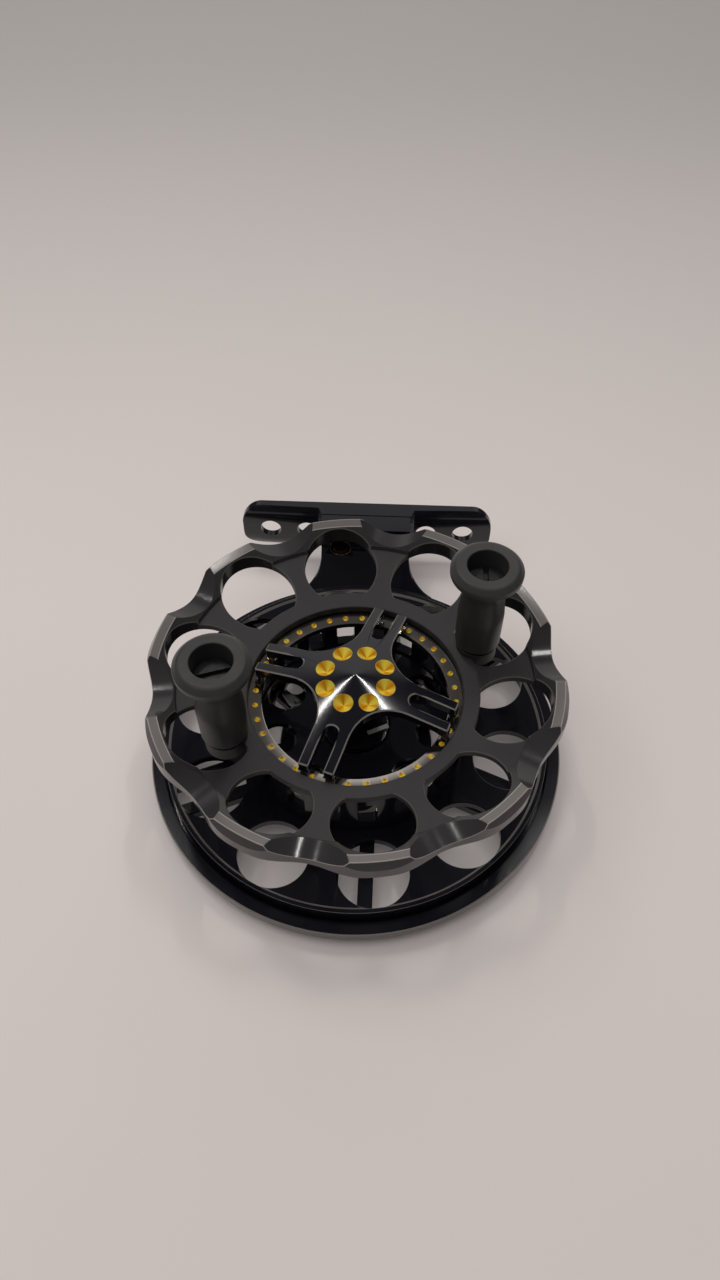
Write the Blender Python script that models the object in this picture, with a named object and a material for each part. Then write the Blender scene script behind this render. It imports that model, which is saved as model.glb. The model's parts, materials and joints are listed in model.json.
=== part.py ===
"""A fly reel lying on its drag knob, spool axis along +Z, reel foot towards +Y.

Every piece is its own closed solid. Lengths are in metres and angles in degrees.
The spool is modelled with one rim lobe on its own +X, and an empty turns it to its rest angle.
"""
import math

import bmesh
import bpy
from mathutils import Matrix, Vector

# Clearances
GAP = 0.0003
RUN_GAP = 0.00045

# Frame: ring, hub with forked arms, and the post that carries the foot
RING_OUTER_R = 0.0461
RING_WIDTH = 0.0029
RING_THICKNESS = 0.0026
RING_CHAMFER = 0.0004
ARM_STEP = 66.5
ARM_BAR_WIDTH = 0.0031
ARM_SLOT = 0.0041
ARM_SLOT_INSET = 0.001
HUB_R = 0.0172
HUB_THICKNESS = 0.0024
POST_WIDTH = 0.0224
POST_REACH = 0.0114
POST_PLATE_THICKNESS = 0.005
POST_STEP_HEIGHT = 0.0055

# Reel foot and its two screws
FOOT_LENGTH = 0.064
FOOT_WIDTH = 0.0137
FOOT_MID_HEIGHT = 0.0122
FOOT_CORNER_R = 0.005
FOOT_TIP_THICKNESS = 0.0015
FOOT_WING_THICKNESS = 0.0021
FOOT_BLOCK_THICKNESS = 0.0028
FOOT_BLOCK_LENGTH = 0.0227
FOOT_SEAT_FLAT = 0.004
FOOT_SEAT_R = 0.0078
FOOT_HOLE_R = 0.00265
FOOT_HOLE_INSET = 0.0072
FOOT_HOLE_PITCH = 0.0095
FOOT_SCREW_SPACING = 0.0128
FOOT_SCREW_R = 0.0015
FOOT_SCREW_HEAD_R = 0.00275

# Drag knob, spindle and bearings
KNOB_R = 0.015
KNOB_HEIGHT = 0.0026
KNOB_FLOOR = 0.0012
KNOB_GRIPS = 12
KNOB_GRIP_DEPTH = 0.0007
SPINDLE_R = 0.003
SPINDLE_TAIL_R = 0.0024
SPINDLE_COLLAR_R = 0.0065
SPINDLE_COLLAR_HEIGHT = 0.0008
RACE_WALL = 0.001
BALL_R = 0.0007
BALL_COUNT = 7
BEARING_HEIGHT = 0.0022
LOCK_NUT_HEIGHT = 0.0008
LOCK_NUT_SLOT_WIDTH = 0.0011
LOCK_NUT_SLOT_LENGTH = 0.0046

# Spool drum with its ledge, web and bearing tube
SPOOL_TURN = -81.4
DRUM_R = 0.0245
DRUM_WALL = 0.0021
DRUM_LIFT = 0.0007
DRUM_HEIGHT = 0.0165
LEDGE_WIDTH = 0.0045
LEDGE_THICKNESS = 0.0017
FLANGE_SEAT = 0.0016
WEB_HEIGHT = 0.0037
WEB_THICKNESS = 0.0015
WEB_HOLES = 9
WEB_HOLE_MARGIN = 0.0008
WEB_HOLE_TURN = 76.4
WEB_HOLE_R = 0.0041
TUBE_WALL = 0.0012
WINDOW_COUNT = 20
WINDOW_WIDTH = 0.004
WINDOW_SILL = 0.0008
WINDOW_HEIGHT = 0.0066

# Rear flange
REAR_THICKNESS = 0.002
REAR_LIP = 0.00046
REAR_LIP_WIDTH = 0.0009
REAR_HOLE_MARGIN = 0.00105
REAR_SPOKE = 0.0061
REAR_INNER_RING = 0.001

# Front flange: a cone that carries a raised rim of ten lobes
LOBES = 10
RIM_R = 0.044
RIM_NOTCH_INSET = 0.00125
RIM_CHAMFER = 0.001
RIM_CHAMFER_DROP = 0.0018
RIM_LAND = 0.0018
RIM_LAND_DROP = 0.0006
RIM_SLOPE = 0.0037
RIM_SLOPE_DROP = 0.0024
RIM_STEP = 0.001
RIM_WALL_FOOT = 0.0046
FRONT_THICKNESS = 0.0017
FRONT_RISE = 0.265
FRONT_HOLE_MARGIN = 0.00035
FRONT_SPOKE = 0.0036
FRONT_INNER_RING = 0.0035
NOTCH_R = 0.0155
NOTCH_DEPTH = 0.0021
NOTCH_TILT = 8.7

# Hub star: four forked arms under a shallow cone
STAR_TURN = 62.6
STAR_ARMS = 4
STAR_REACH_GAP = 0.0012
STAR_PRONG_WIDTH = 0.0022
STAR_SLOT_WIDTH = 0.0033
STAR_SLOT_START = 0.012
STAR_FILLET_R = 0.0093
STAR_THICKNESS = 0.0024
STAR_PEAK = 0.0078
STAR_SLOPE = 0.1855
STAR_LEG = 0.0014
STAR_CUPS = 8
STAR_CUP_RING_R = 0.0068
STAR_CUP_R = 0.00205
STAR_CUP_DEPTH = 0.0016

# Handles on their posts
HANDLE_LOBES = (3, 8)
HANDLE_RING_R = 0.0289
HANDLE_HEIGHT = 0.0241
HANDLE_BASE_R = 0.004
HANDLE_GRIP_R = 0.0049
HANDLE_WAIST_R = 0.0046
HANDLE_CAP_R = 0.00745
HANDLE_CAP_THICKNESS = 0.0032
HANDLE_RECESS_R = 0.0041
HANDLE_RECESS_DEPTH = 0.0062
HANDLE_POST_R = 0.0022
HANDLE_BOSS_R = 0.0044
HANDLE_BOSS_RISE = 0.0004
HANDLE_TONGUE_WIDTH = 0.005
HANDLE_SCREW_HEIGHT = 0.0018
HANDLE_SCREW_SHANK_R = 0.0009
HANDLE_SCREW_SHANK = 0.004
HANDLE_SCREW_SLOT = 0.0012
HANDLE_SCREW_TURNS = (170.0, 100.0)

# Drag discs between the frame hub and the spool
CLUTCH_WALL = 0.0012
ROTOR_SLEEVE_WALL = 0.0007
DISC_THICKNESS = 0.0006
WASHER_WIDTH = 0.0024
PLATE_THICKNESS = 0.0008
PLATE_TRAVEL = 0.00025
PLATE_PIN_R = 0.0007
PLATE_PINS = 3
PLATE_PIN_TURN = 90.0

# Click ring and pawl
CLICK_TEETH = 30
CLICK_RING_WALL = 0.0007
CLICK_TOOTH = 0.0008
CLICK_HEIGHT = 0.0015
PAWL_ANGLE = 150.0
PAWL_WIDTH = 0.0026
PAWL_TAIL = 0.0012
PAWL_HEIGHT = 0.0012
PAWL_PIN_R = 0.0006
LEAF_THICKNESS = 0.0004
LEAF_SPAN = 30.0

# Facets of round pieces
FINE_STEPS = 80
ROUND_STEPS = 48
SMALL_STEPS = 20
HOLE_STEPS = 16

# Heights that follow from the sizes above, from the knob's face up
frame_z = KNOB_HEIGHT + GAP
ring_top = frame_z + RING_THICKNESS
hub_top = frame_z + HUB_THICKNESS
drum_z = ring_top + DRUM_LIFT
ledge_top = drum_z + DRUM_HEIGHT
web_z = drum_z + WEB_HEIGHT
web_top = web_z + WEB_THICKNESS
rear_top = drum_z + REAR_THICKNESS
front_z = ledge_top + GAP
front_top = front_z + FRONT_THICKNESS

# Radii that follow from the sizes above
ring_inner_r = RING_OUTER_R - RING_WIDTH
rear_r = ring_inner_r - RUN_GAP
drum_inner_r = DRUM_R - DRUM_WALL
ledge_inner_r = DRUM_R - LEDGE_WIDTH
opening_r = DRUM_R - FLANGE_SEAT
inner_race_r = SPINDLE_R + GAP
ball_ring_r = inner_race_r + RACE_WALL + GAP + BALL_R
outer_race_r = ball_ring_r + BALL_R + GAP
tube_inner_r = outer_race_r + RACE_WALL + GAP
tube_r = tube_inner_r + TUBE_WALL
clutch_inner_r = tube_r + GAP
rotor_inner_r = clutch_inner_r + CLUTCH_WALL + GAP
washer_inner_r = rotor_inner_r + ROTOR_SLEEVE_WALL + GAP
washer_r = washer_inner_r + WASHER_WIDTH
rotor_r = washer_r + GAP
plate_pin_ring_r = rotor_r + GAP + PLATE_PIN_R

# Rim radii and heights, from the land outwards and inwards
land_r = RIM_R - RIM_CHAMFER
land_inner_r = land_r - RIM_LAND
slope_foot_r = land_inner_r - RIM_SLOPE
slope_foot_z = front_top + FRONT_RISE * (slope_foot_r - opening_r) + RIM_STEP
land_inner_z = slope_foot_z + RIM_SLOPE_DROP
land_z = land_inner_z + RIM_LAND_DROP
handle_z = front_top + FRONT_RISE * (HANDLE_RING_R - opening_r) + HANDLE_BOSS_RISE


# Building blocks

def clear_scene():
    for old in list(bpy.data.objects):
        bpy.data.objects.remove(old, do_unlink=True)


def finish_of(name, colour, roughness, metallic):
    material = bpy.data.materials.new(name)
    material.use_nodes = True
    shader = material.node_tree.nodes["Principled BSDF"]
    shader.inputs["Base Color"].default_value = (*colour, 1.0)
    shader.inputs["Roughness"].default_value = roughness
    shader.inputs["Metallic"].default_value = metallic
    return material


def polar(radius, degrees, height=0.0):
    angle = math.radians(degrees)
    return Vector((radius * math.cos(angle), radius * math.sin(angle), height))


def add_loft(bm, loops, closed_ring=False):
    """Skin a list of point loops; a closed ring joins the last loop to the first, or ends are capped."""
    rows = [[bm.verts.new(point) for point in loop] for loop in loops]
    pairs = list(zip(rows, rows[1:]))
    if closed_ring:
        pairs.append((rows[-1], rows[0]))
    else:
        bm.faces.new(rows[0])
        bm.faces.new(rows[-1])
    for low, high in pairs:
        count = len(low)
        for i in range(count):
            j = (i + 1) % count
            bm.faces.new((low[i], low[j], high[j], high[i]))


def add_prism(bm, outline, low, high):
    """Extrude a plan outline between two heights."""
    add_loft(bm, [[Vector((p.x, p.y, z)) for p in outline] for z in (low, high)])


def add_turned(bm, profile, steps, centre=(0.0, 0.0)):
    """Turn a closed loop of (radius, height) points about a vertical axis."""
    rings = []
    for radius, height in profile:
        if radius == 0.0:
            rings.append([bm.verts.new((*centre, height))] * steps)
            continue
        spots = [polar(radius, 360.0 * i / steps, height) for i in range(steps)]
        rings.append([bm.verts.new((p.x + centre[0], p.y + centre[1], p.z)) for p in spots])
    for lower, upper in zip(rings, rings[1:] + rings[:1]):
        for i in range(steps):
            j = (i + 1) % steps
            corners = list(dict.fromkeys((lower[i], lower[j], upper[j], upper[i])))
            if len(corners) > 2:
                bm.faces.new(corners)


def tube_profile(inner, outer, low, high):
    return [(inner, low), (outer, low), (outer, high), (inner, high)]


def circle(radius, steps, centre=Vector((0.0, 0.0, 0.0))):
    return [centre + polar(radius, 360.0 * i / steps) for i in range(steps)]


def place(bm, matrix, first=0):
    """Move the vertices added since a count by a matrix."""
    bm.verts.ensure_lookup_table()
    bmesh.ops.transform(bm, matrix=matrix, verts=bm.verts[first:])


def make(name, bm, material=None, parent=None):
    """Turn a bmesh into a named object with its faces pointing out."""
    bmesh.ops.recalc_face_normals(bm, faces=bm.faces)
    mesh = bpy.data.meshes.new(name)
    bm.to_mesh(mesh)
    bm.free()
    if material:
        mesh.materials.append(material)
    mesh.shade_smooth()
    mesh.set_sharp_from_angle(angle=math.radians(30.0))
    piece = bpy.data.objects.new(name, mesh)
    bpy.context.scene.collection.objects.link(piece)
    piece.parent = parent
    return piece


def boolean(piece, name, bm, operation="DIFFERENCE"):
    """Cut or join a helper body that is left out of the model."""
    helper = make(name, bm, parent=piece.parent)
    helper.matrix_basis = piece.matrix_basis.copy()
    helper.hide_render = True
    helper.display_type = "WIRE"
    step = piece.modifiers.new(name, "BOOLEAN")
    step.operation = operation
    step.solver = "EXACT"
    step.object = helper


def axis_empty(name, location=(0.0, 0.0, 0.0), turn=0.0, parent=None):
    empty = bpy.data.objects.new(name, None)
    bpy.context.scene.collection.objects.link(empty)
    empty.location = location
    empty.rotation_euler = (0.0, 0.0, math.radians(turn))
    empty.parent = parent
    return empty


# Frame

def frame_ring(black):
    bm = bmesh.new()
    profile = [
        (ring_inner_r, frame_z),
        (RING_OUTER_R, frame_z),
        (RING_OUTER_R, ring_top - RING_CHAMFER),
        (RING_OUTER_R - RING_CHAMFER, ring_top),
        (ring_inner_r + RING_CHAMFER, ring_top),
        (ring_inner_r, ring_top - RING_CHAMFER),
    ]
    add_turned(bm, profile, ROUND_STEPS)
    return make("frame_ring", bm, black)


def spider_outline():
    """The hub's edge with five forks, one of them opposite the foot, that reach for the ring."""
    slot = ARM_SLOT / 2
    edge = slot + ARM_BAR_WIDTH
    reach = ring_inner_r - GAP
    slot_r = HUB_R + ARM_SLOT_INSET + slot
    root = math.degrees(math.asin(edge / HUB_R))
    turns = [ARM_STEP * step - 90.0 for step in range(-2, 3)]
    points = []
    for turn, following in zip(turns, turns[1:] + [turns[0] + 360.0]):
        matrix = Matrix.Rotation(math.radians(turn), 3, "Z")
        fork = [(math.sqrt(HUB_R ** 2 - edge ** 2), -edge), (math.sqrt(reach ** 2 - edge ** 2), -edge),
                (math.sqrt(reach ** 2 - slot ** 2), -slot)]
        fork += [(slot_r - slot * math.cos(math.radians(a)), slot * math.sin(math.radians(a)))
                 for a in (-90, -45, 0, 45, 90)]
        fork += [(math.sqrt(reach ** 2 - slot ** 2), slot), (math.sqrt(reach ** 2 - edge ** 2), edge),
                 (math.sqrt(HUB_R ** 2 - edge ** 2), edge)]
        points += [matrix @ Vector((x, y, 0.0)) for x, y in fork]
        span = following - turn - 2 * root
        points += [polar(HUB_R, turn + root + span * i / 6) for i in range(1, 6)]
    return points


def frame_spider(black):
    bm = bmesh.new()
    add_prism(bm, spider_outline(), frame_z, hub_top)
    spider = make("frame_spider", bm, black)
    holes = bmesh.new()
    add_prism(holes, circle(SPINDLE_TAIL_R + GAP, SMALL_STEPS), frame_z - GAP, hub_top + GAP)
    for k in range(PLATE_PINS):
        spot = polar(plate_pin_ring_r, PLATE_PIN_TURN + 360.0 * k / PLATE_PINS)
        add_prism(holes, circle(PLATE_PIN_R + GAP, HOLE_STEPS, spot), frame_z - GAP, hub_top + GAP)
    boolean(spider, "hub_holes", holes)
    return spider


def screw_spots():
    return [side * FOOT_SCREW_SPACING / 2 for side in (-1, 1)]


def along_y(x, height):
    """Turn a shape built about +Z so that it points along +Y, through a point of the foot."""
    return Matrix.Translation((x, 0.0, height)) @ Matrix.Rotation(math.radians(-90.0), 4, "X")


def post_back():
    return RING_OUTER_R + POST_REACH


def foot_post(black):
    """A sloped web that climbs from the ring to the plate behind which the foot is screwed."""
    back = post_back()
    plate = back - POST_PLATE_THICKNESS
    top = FOOT_MID_HEIGHT + FOOT_WIDTH / 2
    start = RING_OUTER_R - POST_WIDTH / 4
    side = [
        (start, frame_z), (back, frame_z), (back, top), (plate, top),
        (plate, ring_top + POST_STEP_HEIGHT), (RING_OUTER_R + 2 * GAP, ring_top), (start, ring_top),
    ]
    bm = bmesh.new()
    add_loft(bm, [[Vector((x, y, z)) for y, z in side] for x in (-POST_WIDTH / 2, POST_WIDTH / 2)])
    post = make("foot_post", bm, black)
    room = bmesh.new()
    add_prism(room, circle(RING_OUTER_R + GAP, ROUND_STEPS), frame_z - GAP, top + GAP)
    boolean(post, "ring_room", room)
    holes = bmesh.new()
    for x in screw_spots():
        first = len(holes.verts)
        head = FOOT_SCREW_HEAD_R + GAP
        shank = FOOT_SCREW_R + GAP
        profile = [(0.0, plate - GAP), (head + GAP, plate - GAP), (shank, plate + head - shank),
                   (shank, back + GAP), (0.0, back + GAP)]
        add_turned(holes, profile, HOLE_STEPS)
        place(holes, along_y(x, FOOT_MID_HEIGHT), first)
    boolean(post, "post_screw_holes", holes)
    return post


# Reel foot

def foot_section(x):
    """The foot's cross-section at one place along its length: a wing or the thick block."""
    half = FOOT_LENGTH / 2
    run_in = abs(x) - (half - FOOT_CORNER_R)
    width = FOOT_WIDTH / 2
    if run_in > 0.0:
        width += math.sqrt(max(FOOT_CORNER_R ** 2 - run_in ** 2, 0.0)) - FOOT_CORNER_R
    seat = post_back() + GAP + FOOT_BLOCK_THICKNESS
    share = (half - abs(x)) / (half - FOOT_BLOCK_LENGTH / 2)
    thickness = FOOT_TIP_THICKNESS + (FOOT_WING_THICKNESS - FOOT_TIP_THICKNESS) * share
    flat = min(FOOT_SEAT_FLAT / 2, width * 0.8)
    rows = [-width, -(width + flat) / 2, -flat, flat, (width + flat) / 2, width]
    outer = [Vector((x, seat + seat_sag(z), FOOT_MID_HEIGHT + z)) for z in rows]
    if abs(x) < FOOT_BLOCK_LENGTH / 2:
        inner = [Vector((x, post_back() + GAP, FOOT_MID_HEIGHT + z)) for z in rows]
    else:
        inner = [Vector((x, seat + seat_sag(z) - thickness, FOOT_MID_HEIGHT + z)) for z in rows]
    return outer + inner[::-1]


def seat_sag(z):
    """How far the seat curls towards the rod beyond its flat strip."""
    return max(abs(z) - FOOT_SEAT_FLAT / 2, 0.0) ** 2 / (2 * FOOT_SEAT_R)


def reel_foot(black):
    half = FOOT_LENGTH / 2
    block = FOOT_BLOCK_LENGTH / 2
    tips = [half - FOOT_CORNER_R * (1 - math.sin(math.radians(a))) for a in (90, 60, 30, 0)]
    stations = tips + [block + GAP, block - GAP]
    stations = stations + [-x for x in reversed(stations)]
    bm = bmesh.new()
    add_loft(bm, [foot_section(x) for x in stations])
    foot = make("reel_foot", bm, black)
    back = post_back() + GAP + FOOT_BLOCK_THICKNESS + FOOT_WIDTH
    holes = bmesh.new()
    outermost = half - FOOT_HOLE_INSET
    for x in (-outermost, FOOT_HOLE_PITCH - outermost, outermost - FOOT_HOLE_PITCH, outermost):
        first = len(holes.verts)
        add_turned(holes, [(0.0, 0.0), (FOOT_HOLE_R, 0.0), (FOOT_HOLE_R, back), (0.0, back)], HOLE_STEPS)
        place(holes, along_y(x, FOOT_MID_HEIGHT), first)
    for x in screw_spots():
        first = len(holes.verts)
        shank = FOOT_SCREW_R + GAP
        add_turned(holes, [(0.0, 0.0), (shank, 0.0), (shank, back), (0.0, back)], HOLE_STEPS)
        place(holes, along_y(x, FOOT_MID_HEIGHT), first)
    boolean(foot, "foot_holes", holes)
    return foot


def foot_screw(name, x, gold):
    plate = post_back() - POST_PLATE_THICKNESS
    tip = post_back() + FOOT_BLOCK_THICKNESS
    cone = FOOT_SCREW_HEAD_R - FOOT_SCREW_R
    socket = FOOT_SCREW_R * 0.7
    profile = [
        (0.0, plate + cone), (socket, plate + cone), (socket, plate + GAP),
        (FOOT_SCREW_HEAD_R, plate + GAP), (FOOT_SCREW_R, plate + GAP + cone),
        (FOOT_SCREW_R, tip), (0.0, tip),
    ]
    bm = bmesh.new()
    add_turned(bm, profile, HOLE_STEPS)
    place(bm, along_y(x, FOOT_MID_HEIGHT))
    return make(name, bm, gold)


# Spindle, bearings and lock nut

def collar_top():
    return hub_top + GAP + SPINDLE_COLLAR_HEIGHT


def bearing_floors():
    """The underside of the rear and the front bearing."""
    rear = collar_top() + GAP
    return [rear, rear + BEARING_HEIGHT + GAP]


def nut_floor():
    return bearing_floors()[1] + BEARING_HEIGHT + GAP


def spindle(steel):
    tail = KNOB_FLOOR + GAP
    top = nut_floor() + LOCK_NUT_HEIGHT / 2
    bm = bmesh.new()
    profile = [
        (0.0, tail), (SPINDLE_TAIL_R, tail), (SPINDLE_TAIL_R, hub_top + GAP),
        (SPINDLE_COLLAR_R, hub_top + GAP), (SPINDLE_COLLAR_R, collar_top()),
        (SPINDLE_R, collar_top()), (SPINDLE_R, top), (0.0, top),
    ]
    add_turned(bm, profile, SMALL_STEPS)
    return make("spindle", bm, steel)


def bearing_race(name, inner, floor, steel, parent=None):
    bm = bmesh.new()
    add_turned(bm, tube_profile(inner, inner + RACE_WALL, floor, floor + BEARING_HEIGHT), SMALL_STEPS)
    return make(name, bm, steel, parent)


def bearing_cage(name, floor, steel, parent):
    """A thin ring with the balls that it spaces."""
    middle = floor + BEARING_HEIGHT / 2
    half = BALL_R / 3
    bm = bmesh.new()
    add_turned(bm, tube_profile(ball_ring_r - half, ball_ring_r + half, middle - half, middle + half), 2 * BALL_COUNT)
    cage = make(name, bm, steel, parent)
    balls = bmesh.new()
    for k in range(BALL_COUNT):
        spot = polar(ball_ring_r, 360.0 * (k + 0.5) / BALL_COUNT, middle)
        bmesh.ops.create_icosphere(balls, subdivisions=1, radius=BALL_R, matrix=Matrix.Translation(spot))
    boolean(cage, name + "_balls", balls, "UNION")
    return cage


def spool_lock_nut(black):
    """A flat cap over the bearings with two spanner slots."""
    floor = nut_floor()
    top = floor + LOCK_NUT_HEIGHT
    outer = tube_inner_r - 2 * GAP
    well = floor + LOCK_NUT_HEIGHT / 2 + GAP
    bm = bmesh.new()
    profile = [(0.0, well), (SPINDLE_R + GAP, well), (SPINDLE_R + GAP, floor), (outer, floor),
               (outer, top), (0.0, top)]
    add_turned(bm, profile, SMALL_STEPS)
    nut = make("spool_lock_nut", bm, black)
    slots = bmesh.new()
    middle = (SPINDLE_R + outer) / 2 + GAP
    for side in (-1, 1):
        first = len(slots.verts)
        half = (LOCK_NUT_SLOT_LENGTH / 2, LOCK_NUT_SLOT_WIDTH / 2)
        corners = [Vector((sx * half[0], sy * half[1], 0.0)) for sx, sy in ((-1, -1), (1, -1), (1, 1), (-1, 1))]
        add_prism(slots, corners, top - LOCK_NUT_HEIGHT / 2, top + GAP)
        place(slots, Matrix.Rotation(math.radians(-25.0), 4, "Z") @ Matrix.Translation((side * middle, 0, 0)), first)
    boolean(nut, "spanner_slots", slots)
    return nut


# Drag

def disc_floor(level):
    """The underside of one disc of the drag stack: washer, rotor, washer."""
    return hub_top + GAP + level * (DISC_THICKNESS + GAP)


def drag_washer(name, level, carbon):
    floor = disc_floor(level)
    bm = bmesh.new()
    add_turned(bm, tube_profile(washer_inner_r, washer_r, floor, floor + DISC_THICKNESS), SMALL_STEPS)
    return make(name, bm, carbon)


def drag_rotor(steel, parent):
    low = disc_floor(0)
    disc = disc_floor(1)
    high = web_z - 2 * GAP
    sleeve = rotor_inner_r + ROTOR_SLEEVE_WALL
    bm = bmesh.new()
    profile = [
        (rotor_inner_r, low), (sleeve, low), (sleeve, disc), (rotor_r, disc),
        (rotor_r, disc + DISC_THICKNESS), (sleeve, disc + DISC_THICKNESS), (sleeve, high), (rotor_inner_r, high),
    ]
    add_turned(bm, profile, SMALL_STEPS)
    return make("drag_rotor", bm, steel, parent)


def drag_pressure_plate(steel, parent):
    """A ring above the stack, pulled down by three pins that pass the frame hub."""
    floor = disc_floor(3) + PLATE_TRAVEL
    top = floor + PLATE_THICKNESS
    bm = bmesh.new()
    outline = []
    reach = plate_pin_ring_r + PLATE_PIN_R + GAP
    half = math.degrees(math.asin((PLATE_PIN_R + GAP) / plate_pin_ring_r))
    for k in range(PLATE_PINS):
        ear = PLATE_PIN_TURN + 360.0 * k / PLATE_PINS
        outline += [(washer_r, ear - 2 * half), (reach, ear - half), (reach, ear), (reach, ear + half)]
        arc = 360.0 / PLATE_PINS - 4 * half
        outline += [(washer_r, ear + 2 * half + arc * i / 6) for i in range(6)]
    outer = [polar(radius, angle) for radius, angle in outline]
    inner = [polar(washer_inner_r, angle) for radius, angle in outline]
    rise = Vector((0.0, 0.0, 1.0))
    loops = [[p + rise * floor for p in inner], [p + rise * floor for p in outer],
             [p + rise * top for p in outer], [p + rise * top for p in inner]]
    add_loft(bm, loops, closed_ring=True)
    plate = make("drag_pressure_plate", bm, steel, parent)
    pins = bmesh.new()
    for k in range(PLATE_PINS):
        spot = polar(plate_pin_ring_r, PLATE_PIN_TURN + 360.0 * k / PLATE_PINS)
        add_prism(pins, circle(PLATE_PIN_R, HOLE_STEPS // 2, spot), frame_z + GAP, floor + PLATE_THICKNESS / 2)
    boolean(plate, "plate_pins", pins, "UNION")
    return plate


def drag_knob(black, parent):
    """A flat dial with finger grips round its edge, on which the reel stands."""
    bm = bmesh.new()
    bore = SPINDLE_TAIL_R + GAP
    profile = [
        (0.0, 0.0), (KNOB_R - 2 * KNOB_GRIP_DEPTH, 0.0), (KNOB_R, KNOB_GRIP_DEPTH),
        (KNOB_R, KNOB_HEIGHT - GAP), (KNOB_R - GAP, KNOB_HEIGHT), (bore, KNOB_HEIGHT),
        (bore, KNOB_FLOOR), (0.0, KNOB_FLOOR),
    ]
    add_turned(bm, profile, ROUND_STEPS)
    knob = make("drag_knob", bm, black, parent)
    grips = bmesh.new()
    radius = KNOB_R * math.sin(math.radians(90.0 / KNOB_GRIPS))
    for k in range(KNOB_GRIPS):
        spot = polar(KNOB_R - KNOB_GRIP_DEPTH + radius, 360.0 * (k + 0.5) / KNOB_GRIPS)
        add_prism(grips, circle(radius, HOLE_STEPS // 2, spot), -GAP, KNOB_HEIGHT + GAP)
    boolean(knob, "finger_grips", grips)
    return knob


def one_way_clutch(steel, parent):
    bm = bmesh.new()
    low = disc_floor(0)
    outer = clutch_inner_r + CLUTCH_WALL
    add_turned(bm, tube_profile(clutch_inner_r, outer, low, web_z - GAP), SMALL_STEPS)
    return make("one_way_clutch", bm, steel, parent)


# Click

def click_outer_r():
    return drum_inner_r - GAP


def click_tip_r():
    return click_outer_r() - CLICK_RING_WALL - CLICK_TOOTH


def click_gear(steel, parent):
    low = drum_z + GAP
    count = 2 * CLICK_TEETH
    inner = []
    outer = []
    for i in range(count):
        angle = 360.0 * i / count
        depth = CLICK_TOOTH if i % 2 else 0.0
        inner.append(polar(click_tip_r() + depth, angle))
        outer.append(polar(click_outer_r(), angle))
    rise = Vector((0.0, 0.0, 1.0))
    high = low + CLICK_HEIGHT
    bm = bmesh.new()
    loops = [[p + rise * low for p in inner], [p + rise * low for p in outer],
             [p + rise * high for p in outer], [p + rise * high for p in inner]]
    add_loft(bm, loops, closed_ring=True)
    return make("click_gear", bm, steel, parent)


def pawl_pivot_r():
    return rotor_r + 2 * GAP + PAWL_TAIL


def pawl_floor():
    return drum_z + GAP


def click_pin(steel):
    bm = bmesh.new()
    spot = polar(pawl_pivot_r(), PAWL_ANGLE)
    add_prism(bm, circle(PAWL_PIN_R, HOLE_STEPS // 2, spot), hub_top + GAP, pawl_floor() + PAWL_HEIGHT + GAP)
    return make("click_pin", bm, steel)


def click_pawl(steel, parent):
    """A pointed pawl on its pin, its tip just inside the click teeth."""
    tip = click_tip_r() - GAP - pawl_pivot_r()
    half = PAWL_WIDTH / 2
    outer = [(tip, 0.0), (tip / 3, half), (-PAWL_TAIL / 2, half), (-PAWL_TAIL, half / 2),
             (-PAWL_TAIL, -half / 2), (-PAWL_TAIL / 2, -half), (tip / 3, -half)]
    low = pawl_floor()
    bm = bmesh.new()
    add_prism(bm, [Vector((x, y, 0.0)) for x, y in outer], low, low + PAWL_HEIGHT)
    pawl = make("click_pawl", bm, steel, parent)
    bore = bmesh.new()
    add_prism(bore, circle(PAWL_PIN_R + GAP / 2, HOLE_STEPS // 2), low - GAP, low + PAWL_HEIGHT + GAP)
    boolean(pawl, "pawl_bore", bore)
    return pawl


def click_spring(steel):
    """A leaf that stands on the hub beside the pawl."""
    radius = pawl_pivot_r()
    start = PAWL_ANGLE + math.degrees((PAWL_WIDTH / 2 + 2 * GAP) / radius)
    angles = [start + LEAF_SPAN * i / 6 for i in range(7)]
    outline = [polar(radius, a) for a in angles]
    outline += [polar(radius + LEAF_THICKNESS, a) for a in reversed(angles)]
    bm = bmesh.new()
    add_prism(bm, outline, hub_top + GAP, pawl_floor() + PAWL_HEIGHT)
    return make("click_spring", bm, steel)


# Spool

def spool_drum(black, parent):
    """The tube that the line lies on, with the ledge above and the web and bearing tube inside."""
    bm = bmesh.new()
    profile = [
        (tube_inner_r, drum_z), (tube_inner_r, web_top), (drum_inner_r, web_top),
        (drum_inner_r, ledge_top - LEDGE_THICKNESS - GAP), (ledge_inner_r, ledge_top - LEDGE_THICKNESS),
        (ledge_inner_r, ledge_top), (DRUM_R, ledge_top), (DRUM_R, drum_z),
        (drum_inner_r, drum_z), (drum_inner_r, web_z), (tube_r, web_z), (tube_r, drum_z),
    ]
    add_turned(bm, profile, ROUND_STEPS)
    drum = make("spool_drum", bm, black, parent)
    cuts = bmesh.new()
    low = web_top + WINDOW_SILL
    for k in range(WINDOW_COUNT):
        first = len(cuts.verts)
        half = WINDOW_WIDTH / 2
        outline = [Vector((x, y, 0.0)) for x, y in
                   ((drum_inner_r - DRUM_WALL, -half), (DRUM_R + DRUM_WALL, -half),
                    (DRUM_R + DRUM_WALL, half), (drum_inner_r - DRUM_WALL, half))]
        add_prism(cuts, outline, low, low + WINDOW_HEIGHT)
        place(cuts, Matrix.Rotation(math.radians(360.0 * k / WINDOW_COUNT), 4, "Z"), first)
    hole_ring = drum_inner_r - WEB_HOLE_R - WEB_HOLE_MARGIN
    for k in range(WEB_HOLES):
        spot = polar(hole_ring, WEB_HOLE_TURN + 360.0 * k / WEB_HOLES)
        add_prism(cuts, circle(WEB_HOLE_R, HOLE_STEPS, spot), web_z - GAP, web_top + GAP)
    boolean(drum, "drum_cuts", cuts)
    return drum


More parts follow.
